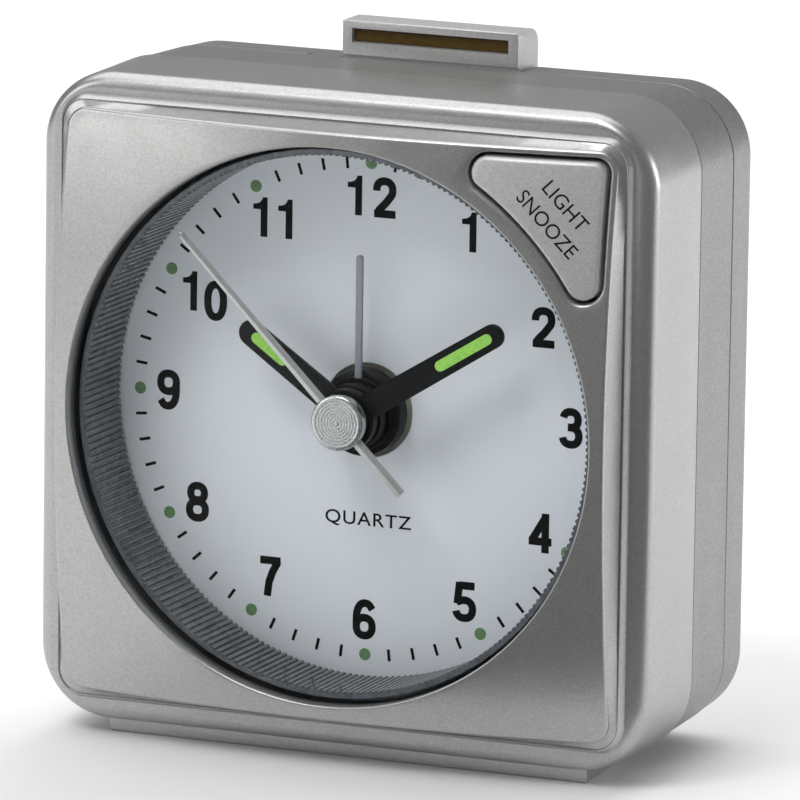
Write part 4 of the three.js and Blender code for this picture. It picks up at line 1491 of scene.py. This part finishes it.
@dataclass
class AlarmBar:
    """The press bar on top, with its amber stripe behind a window."""

    finishes: Finishes
    low: float = 26.0
    top: float = 31.87
    edge: float = 0.16
    back_round: float = 1.5
    window: float = 7.45
    window_low: float = 29.9
    window_high: float = 31.18
    window_deep: float = 0.78
    groove_low: float = 28.4
    groove_high: float = 28.82
    groove_deep: float = 0.22

    def outline(self, shrink: float) -> list[Pair]:
        """The window's outline, drawn in by a distance.

        Args:
            shrink: How far it is drawn in.

        Returns:
            The four corners.
        """
        left, right = BAR_X - self.window + shrink, BAR_X + self.window - shrink
        low, high = self.window_low + shrink, self.window_high - shrink
        return [(left, low), (right, low), (right, high), (left, high)]

    def opening(self, front: float) -> Shape:
        """The solid taken out for the window, narrowing towards the stripe."""
        levels = ((0.0, front - 1.0), (0.0, front), (0.12, front + self.window_deep))
        return loft([[(x, y, z) for x, z in self.outline(shrink)] for shrink, y in levels])

    def groove(self, front: float) -> Shape:
        """The solid taken out for the groove across the bar, where it leaves the case.

        Args:
            front: Depth of the bar's front.

        Returns:
            The solid.
        """
        left, right = BAR_X - BAR_HALF - 1.0, BAR_X + BAR_HALF + 1.0
        section = [(left, self.groove_low), (right, self.groove_low),
                   (right, self.groove_high), (left, self.groove_high)]
        return prism(section, front - 1.0, front + self.groove_deep)

    def body(self, front: float, back: float) -> Shape:
        """The bar from side to side, with soft edges and a round back.

        Args:
            front: Depth of the bar's front.
            back: Depth of the bar's back.

        Returns:
            The bar's shape.
        """
        edge, turn = self.edge, self.back_round
        section = [(front + 0.05, self.low), (back, self.low)]
        section += rounding(back - turn, self.top - turn, turn, 0.0, 90.0, 10)
        section += rounding(front + edge, self.top - edge, edge, 90.0, 180.0)
        soft = edge * 0.3
        ends = [(-BAR_HALF, edge), (-BAR_HALF + soft, soft), (-BAR_HALF + edge, 0.0)]
        ends += [(-x, shrink) for x, shrink in reversed(ends)]
        rings = []
        for x, shrink in ends:
            shape = inset(section, shrink) if shrink else section
            rings.append([(BAR_X + x, y, z) for y, z in shape])
        return loft(rings)

    def build(self) -> None:
        """Builds the bar and the stripe."""
        low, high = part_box("alarm_bar")
        front, back = (low[1] - DATUM.y) / MM, (high[1] - DATUM.y) / MM
        bar = make_object("press_bar", self.body(front, back))
        carve(bar, [make_object("bar window", self.opening(front)),
                    make_object("bar groove", self.groove(front))])
        stand_in(dress(bar, self.finishes.button), "bar", "shell_silver", "alarm_bar")
        stripe = make_object("amber_stripe", prism(self.outline(0.14), front + 0.42, front + 0.68))
        stand_in(dress(stripe, self.finishes.amber), "bar", "amber", "alarm_stripe")


# ------------------------------------------------------------------ dial


@dataclass
class Dial:
    """The dial plate with its printing, the ring round it, the nut and the lens.

    plane is the depth of the dial's face, and marks the distance of the minute marks from the axis.
    Profiles are (radius, depth) points of turned pieces.
    """

    finishes: Finishes
    plane: float = 9.56
    thick: float = 0.5
    radius: float = 25.0
    hole: float = 4.2
    marks: float = 21.81
    numeral: float = 3.5
    facets: int = 128
    ring_inner: float = 23.75
    flute: float = 0.46
    flute_front: float = 1.95
    flute_back: float = 9.15

    # digit and its place on the dial
    NUMERALS = (
        ("1", 9.5, 16.5), ("2", 16.39, 8.73), ("3", 19.1, 0.1), ("4", 16.4, -9.4), ("5", 9.4, -16.2),
        ("6", -0.1, -18.7), ("7", -9.1, -15.75), ("8", -16.2, -9.73), ("9", -19.1, 0.06),
        ("1", -16.9, 9.08), ("0", -14.66, 8.37), ("1", -10.25, 16.2), ("1", -7.87, 16.2),
        ("1", -1.3, 18.85), ("2", 1.32, 18.85),
    )
    NUT = ((2.3, 9.2), (2.3, 7.9), (2.5, 7.7), (3.5, 7.7), (3.75, 7.85), (3.85, 8.1), (3.85, 9.2))
    RING = ((23.75, 1.85), (24.1, 1.85), (24.2, 1.95), (24.2, 3.2), (24.6, 3.4), (24.6, 9.2), (23.75, 9.2))
    LENS = ((0.0, 0.1), (24.05, 0.1), (24.18, 0.14), (24.24, 0.25), (24.3, 2.0), (24.9, 2.2),
            (24.9, 3.0), (24.4, 3.0), (24.25, 1.8), (24.1, 1.7), (0.0, 1.7))

    def surface(self, _x: float, _z: float) -> float:
        """Depth of the dial's face, the same all over."""
        return self.plane

    def plate(self) -> bpy.types.Object:
        """The dial plate, a disc with a hole for the movement's nut.

        Returns:
            The object.
        """
        back = self.plane + self.thick
        profile = [(self.hole, self.plane), (self.radius, self.plane), (self.radius, back),
                   (self.hole, back)]
        return dress(make_object("dial_disc", lathe(profile, self.facets)), self.finishes.dial)

    def printing(self) -> bpy.types.Object:
        """The numerals, the word and the minute marks in black.

        Returns:
            The object.
        """
        ink = self.finishes.ink
        pieces = [Numeral(digit, x, z, self.numeral).build(self.plane, ink)
                  for digit, x, z in self.NUMERALS]
        word = Lettering("QUARTZ", 0.15, -9.85, 1.42, 8.15, weight=0.006, spacing=1.1)
        pieces.append(word.build(self.surface, ink))
        marks = RadialRow("minute_marks", Stud.BLOCK, 60, self.marks, self.plane, (0.27, 0.04, 1.05),
                          leave_out=5)
        pieces.append(marks.build(ink))
        return merge("dial_print", pieces)

    def dots(self) -> bpy.types.Object:
        """The green dots at the hours."""
        row = RadialRow("hour_dots", Stud.ROD, 12, self.marks, self.plane, (1.08, 0.05, 1.08), sides=24)
        return row.build(self.finishes.dots)

    def ring(self) -> bpy.types.Object:
        """The ring, its clear plastic painted dark grey as the shade of the dark inside seen through it,
        with flutes along its inner wall.

        Returns:
            The object.
        """
        tube = dress(make_object("ring_tube", lathe(self.RING, self.facets)), self.finishes.ring)
        middle, length = (self.flute_front + self.flute_back) / 2, self.flute_back - self.flute_front
        flutes = RadialRow("ring_flutes", Stud.ROD, 256, self.ring_inner + 0.01, middle,
                           (self.flute, length, self.flute))
        return merge("fluted_ring", [tube, flutes.build(self.finishes.ring)])

    def build(self) -> None:
        """Builds the dial's pieces."""
        stand_in(self.plate(), "case", "dial_paint", "dial_plate")
        stand_in(self.printing(), "case", "black_plastic")
        stand_in(self.dots(), "case", "black_plastic")
        nut = dress(make_object("dial_boss", lathe(self.NUT, 64)), self.finishes.black)
        stand_in(nut, "case", "black_plastic", "dial_nut")
        stand_in(self.ring(), "case", "clear_plastic", "light_ring")
        lens = dress(make_object("lens_disc", lathe(self.LENS, self.facets)), self.finishes.lens)
        stand_in(lens, "case", "clear_plastic", "lens")


# ------------------------------------------------------------------ hands


@dataclass(frozen=True)
class Blade:
    """The sizes of a flat hand with a round hub.

    angle is clockwise from twelve, root and tip are half widths, length runs to the tip's centre, front
    and back are depths of the blade and hub_back of its hub, hub and bore are radii, and insert is the
    painted strip's start, end and half width.
    """

    body: str
    node: str
    slot: str
    angle: float
    root: float
    tip: float
    length: float
    front: float
    back: float
    hub: float
    hub_back: float
    bore: float
    insert: Point | None = None


@dataclass
class Hands:
    """The four hands and the cap over them."""

    finishes: Finishes
    alarm: Blade = Blade("alarm", "alarm_hand", "grey_plastic", 0.0, 0.31, 0.31, 13.75, 7.15, 7.45,
                         3.3, 7.6, 2.18)
    hour: Blade = Blade("hour", "hour_hand", "black_plastic", 304.8, 1.22, 1.15, 11.6, 5.6, 6.0,
                        2.9, 6.85, 1.53, (7.9, 10.9, 0.5))
    minute: Blade = Blade("minute", "minute_hand", "black_plastic", 58.0, 1.15, 1.06, 16.14, 4.35, 4.75,
                          2.7, 5.3, 0.93, (10.5, 15.6, 0.48))
    second_angle: float = 315.0
    cap_face: float = 2.62
    ridge_high: float = 0.017
    ridge_pitch: float = 0.27
    ridges: int = 7

    # z and half width of the second hand, from its tail to its tip
    SWEEP = ((-8.3, 0.36), (-8.1, 0.45), (0.0, 0.45), (21.5, 0.28), (21.8, 0.12))
    RIDGE_SHARP = math.radians(12.0)
    CAP_SHARP = math.radians(50.0)

    def flat(self, blade: Blade, material: bpy.types.Material,
             hub_material: bpy.types.Material | None = None) -> None:
        """Builds a flat hand with a bored hub, and its painted insert.

        Args:
            blade: The hand's sizes.
            material: What the blade is made of.
            hub_material: What the hub is made of, if it isn't the blade's.
        """
        name, proud = f"{blade.body}_arm", blade.front - 0.02
        outline = tapered(blade.root, blade.tip, blade.bore + 0.3, blade.length)
        arm = prism(outline, blade.front, blade.back, 0.06)
        profile = [(blade.bore, proud), (blade.hub - 0.1, proud), (blade.hub, proud + 0.1),
                   (blade.hub, blade.hub_back), (blade.bore, blade.hub_back)]
        hand = dress(make_object(name, moved(arm, turn=blade.angle)), material)
        hub = make_object("hub", lathe(profile, 64))
        if hub_material:
            hand = merge(name, [hand, dress(hub, hub_material)])
        else:
            carve(hand, [hub], Cut.ADD)
            dress(hand, material)
        stand_in(hand, blade.body, blade.slot, blade.node)
        if blade.insert:
            strip = prism(stadium(*blade.insert), blade.front - 0.03, blade.front + 0.05, 0.015)
            piece = make_object(f"{blade.body}_insert", moved(strip, turn=blade.angle))
            stand_in(dress(piece, self.finishes.lime), blade.body, blade.slot)

    def second(self) -> bpy.types.Object:
        """The second hand, with a ridge down its middle.

        Returns:
            The object.
        """
        ridge, side, back = 3.13, 3.25, 3.4
        rings = [[(-half, back, z), (-half, side, z), (0.0, ridge, z), (half, side, z), (half, back, z)]
                 for z, half in self.SWEEP]
        arm = make_object("sweep_arm", moved(loft(rings), turn=self.second_angle), self.RIDGE_SHARP)
        hub = lathe([(0.0, 3.15), (2.3, 3.15), (2.3, 3.85), (0.0, 3.85)], 48)
        carve(arm, [make_object("hub", hub)], Cut.ADD)
        smooth_edges(arm.data, self.RIDGE_SHARP)
        return dress(arm, self.finishes.satin)

    def cap(self) -> bpy.types.Object:
        """The turned cap, with fine round ridges on its face.

        Returns:
            The object.
        """
        face, half = self.cap_face, self.ridge_pitch / 3
        profile = [(0.0, face)]
        for i in range(self.ridges):
            r = 0.28 + i * self.ridge_pitch
            profile += [(r - half, face), (r, face + self.ridge_high), (r + half, face)]
        profile += [(2.2, face), (2.36, 2.66), (2.45, 2.8), (2.45, 3.05), (0.0, 3.05)]
        return dress(make_object("hand_cap", lathe(profile), self.CAP_SHARP), self.finishes.cap)

    def build(self) -> None:
        """Builds all four hands and the cap."""
        self.flat(self.alarm, self.finishes.grey, self.finishes.black)
        self.flat(self.hour, self.finishes.black)
        self.flat(self.minute, self.finishes.black)
        stand_in(self.second(), "seconds", "bright_steel", "second_hand")
        stand_in(self.cap(), "seconds", "bright_steel", "second_cap")


# ------------------------------------------------------------------ back and inside


@dataclass
class Back:
    """The two setting knobs."""

    finishes: Finishes
    ribs: int = 32
    rib: float = 0.44
    rib_length: float = 1.55
    rib_middle: float = 30.1

    # radius and depth of a knob, from its front to the dish in its outer face
    KNOB = ((0.0, 29.15), (3.4, 29.15), (3.75, 29.3), (3.75, 30.9), (3.6, 31.12), (3.2, 31.18),
            (2.6, 31.1), (1.6, 30.85), (0.0, 30.75))
    RIB_RADIUS = 3.74

    def knob(self, name: str, body: str, x: float) -> None:
        """Builds a ribbed knob.

        Args:
            name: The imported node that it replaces.
            body: The body that it rides on.
            x: Where its axis is.
        """
        black = self.finishes.black
        core = dress(make_object(name, moved(lathe(self.KNOB, 64), x)), black)
        ribs = RadialRow(f"{name}_ribs", Stud.ROD, self.ribs, self.RIB_RADIUS, self.rib_middle,
                         (self.rib, self.rib_length, self.rib), (x, 0.0), sides=8)
        piece = merge(f"{name}_grip", [core, ribs.build(black)])
        stand_in(piece, body, "black_plastic", name)

    def build(self) -> None:
        """Builds both knobs."""
        self.knob("time_knob", "time_setter", KNOB_X)
        self.knob("alarm_knob", "alarm_setter", -KNOB_X)


@dataclass
class Inside:
    """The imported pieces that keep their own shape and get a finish."""

    finishes: Finishes

    def table(self) -> list[tuple[bpy.types.Material, tuple[str, ...]]]:
        """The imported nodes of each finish.

        Returns:
            Each finish with the nodes that get it.
        """
        f = self.finishes
        return [
            (f.nylon, ("dial_carrier", "movement_plate", "movement_cover", "alarm_wheel", "alarm_idler",
                       "hour_wheel", "motion_wheel", "third_wheel", "seconds_wheel", "fifth_wheel")),
            (f.brass, ("cannon_pinion", "centre_wheel", "buzzer")),
            (f.bright, ("rotor", "stator", "alarm_set_arbor", "time_set_arbor", "contact_plate",
                        "contact_spring", "contact_base", "quartz_crystal")),
            (f.bright, tuple(f"case_screw_{i}" for i in range(1, 5))),
            (f.black, ("clock_chip", "alarm_switch", "snooze_switch")),
            (f.board, ("circuit_board",)),
            (f.copper, ("coil",)),
            (f.sleeve, ("battery_cell",)),
            (f.lamp, ("lamp",)),
        ]

    def build(self) -> None:
        """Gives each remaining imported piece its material."""
        for material, nodes in self.table():
            for node in nodes:
                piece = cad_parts[node]
                if not piece.material_slots:
                    piece.data.materials.append(None)
                for slot in piece.material_slots:
                    slot.material = material
                log.info("%s finished in %s", node, material.name)


# ------------------------------------------------------------------ studio


@dataclass(frozen=True)
class Lamp:
    """A square soft light: its place and what it points at in metres, its width and its watts.

    mirrored is False if it isn't seen in glossy surfaces.
    """

    name: str
    place: Point
    size: float
    power: float
    target: Point = (0.0, 0.0, 0.03)
    mirrored: bool = True

    def build(self) -> None:
        """Adds the light to the scene."""
        data = bpy.data.lights.new(self.name, "AREA")
        data.size = self.size
        data.energy = self.power
        lamp = bpy.data.objects.new(self.name, data)
        lamp.location = self.place
        away = Vector(self.place) - Vector(self.target)
        lamp.rotation_euler = away.to_track_quat("Z", "Y").to_euler()
        lamp.visible_glossy = self.mirrored
        bpy.context.scene.collection.objects.link(lamp)


@dataclass
class Studio:
    """The floor, the lights and the camera.

    The camera's angles are degrees. aside, above and distance are its place from the dial's middle in
    millimetres, across and along its own line of sight. The floor's half width and the flag's edges are
    metres.
    """

    azimuth: float = 23.067
    elevation: float = 11.205
    roll: float = 0.817
    aside: float = 6.541
    above: float = 2.501
    distance: float = 862.16
    lens: float = 450.0
    floor_half: float = 6.0
    flag_left: float = -0.02
    flag_right: float = 0.7
    flag_near: float = -0.027
    flag_far: float = -0.7
    flag_flare: float = 0.2
    backdrop_front: float = 0.15
    backdrop_back: float = 0.32

    LAMPS = (
        Lamp("back overhead", (0.1, 1.0, 1.0), 1.0, 11.0, (0.0, 0.8, 0.0), mirrored=False),
        Lamp("overhead", (-0.25, 0.1, 0.8), 0.8, 3.4),
        Lamp("left", (-0.68, -0.66, 0.36), 0.5, 1.7),
        Lamp("right", (0.68, 0.42, 0.14), 0.4, 2.0),
        Lamp("high front", (-0.15, -0.6, 0.85), 0.4, 3.8),
    )

    @staticmethod
    def sheet(name: str, corners: Sequence[Point], material: bpy.types.Material) -> bpy.types.Object:
        """A flat sheet of the studio.

        Args:
            name: The sheet's name.
            corners: Its corners in order, in metres.
            material: Its material.

        Returns:
            The object.
        """
        mesh = bpy.data.meshes.new(name)
        mesh.from_pydata(corners, [], [tuple(range(len(corners)))])
        made = dress(new_object(name, mesh), material)
        return made

    def floor(self) -> None:
        """A plain pale floor."""
        n = Nodes("pale floor")
        n.colour(n.noise(4.0), (0.90, 0.90, 0.90), (0.92, 0.92, 0.92))
        n.set(Roughness=0.8)
        half = self.floor_half
        corners = [(-half, -half, 0.0), (half, -half, 0.0), (half, half, 0.0), (-half, half, 0.0)]
        self.sheet("floor", corners, n.material)

    def flag(self) -> None:
        """A dark card on the floor in front and to the right, seen only in glossy surfaces."""
        cloth = Moulded("dark cloth", (0.12, 0.12, 0.12), (0.09, 0.09, 0.09), 0.9).make()
        height = 0.001
        corners = [(self.flag_left - self.flag_flare, self.flag_far, height),
                   (self.flag_right, self.flag_far, height), (self.flag_right, self.flag_near, height),
                   (self.flag_left, self.flag_near, height)]
        card = self.sheet("flag", corners, cloth)
        card.visible_camera = card.visible_diffuse = card.visible_shadow = False

    def backdrop(self) -> None:
        """A white surround that is dimmer in front than behind."""
        world = bpy.data.worlds.new("studio")
        world.use_nodes = True
        nodes, link = world.node_tree.nodes, world.node_tree.links.new
        split = nodes.new("ShaderNodeSeparateXYZ")
        link(nodes.new("ShaderNodeTexCoord").outputs["Generated"], split.inputs[0])
        spread = nodes.new("ShaderNodeMapRange")
        limits = {"From Min": -1.0, "From Max": 1.0, "To Min": self.backdrop_front,
                  "To Max": self.backdrop_back}
        for key, number in limits.items():
            spread.inputs[key].default_value = number
        link(split.outputs["Y"], spread.inputs["Value"])
        background = nodes["Background"]
        background.inputs["Color"].default_value = (1.0, 1.0, 1.0, 1.0)
        link(spread.outputs["Result"], background.inputs["Strength"])
        bpy.context.scene.world = world
        bpy.context.scene.view_settings.view_transform = "Standard"

    def camera(self) -> None:
        """A long lens from the front, a little above and to the right."""
        a, e, r = (math.radians(v) for v in (self.azimuth, self.elevation, self.roll))
        back = Vector((math.sin(a) * math.cos(e), -math.cos(a) * math.cos(e), math.sin(e)))
        right = Vector((math.cos(a), math.sin(a), 0.0))
        up = back.cross(right)
        turned_right = right * math.cos(r) + up * math.sin(r)
        turned_up = up * math.cos(r) - right * math.sin(r)
        spot = turned_right * self.aside + turned_up * self.above + back * self.distance
        data = bpy.data.cameras.new("camera")
        data.lens = self.lens
        data.clip_start, data.clip_end = 0.05, 20.0
        camera = bpy.data.objects.new("camera", data)
        turn = Matrix((turned_right, turned_up, back)).transposed().to_4x4()
        camera.matrix_world = Matrix.Translation(DATUM.world(tuple(spot))) @ turn
        bpy.context.scene.collection.objects.link(camera)
        bpy.context.scene.camera = camera

    def build(self) -> None:
        """Sets up the studio."""
        self.floor()
        self.flag()
        for lamp in self.LAMPS:
            lamp.build()
        self.backdrop()
        self.camera()


def main() -> None:
    """Builds the clock in order."""
    logging.basicConfig(level=logging.INFO, format="%(message)s")
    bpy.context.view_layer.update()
    finishes = Finishes()
    face = Face()
    CaseShell(finishes, face).build()
    SnoozeButton(finishes, face).build()
    AlarmBar(finishes).build()
    Dial(finishes).build()
    Hands(finishes).build()
    Back(finishes).build()
    Inside(finishes).build()
    Studio().build()


if __name__ == "__main__":
    main()
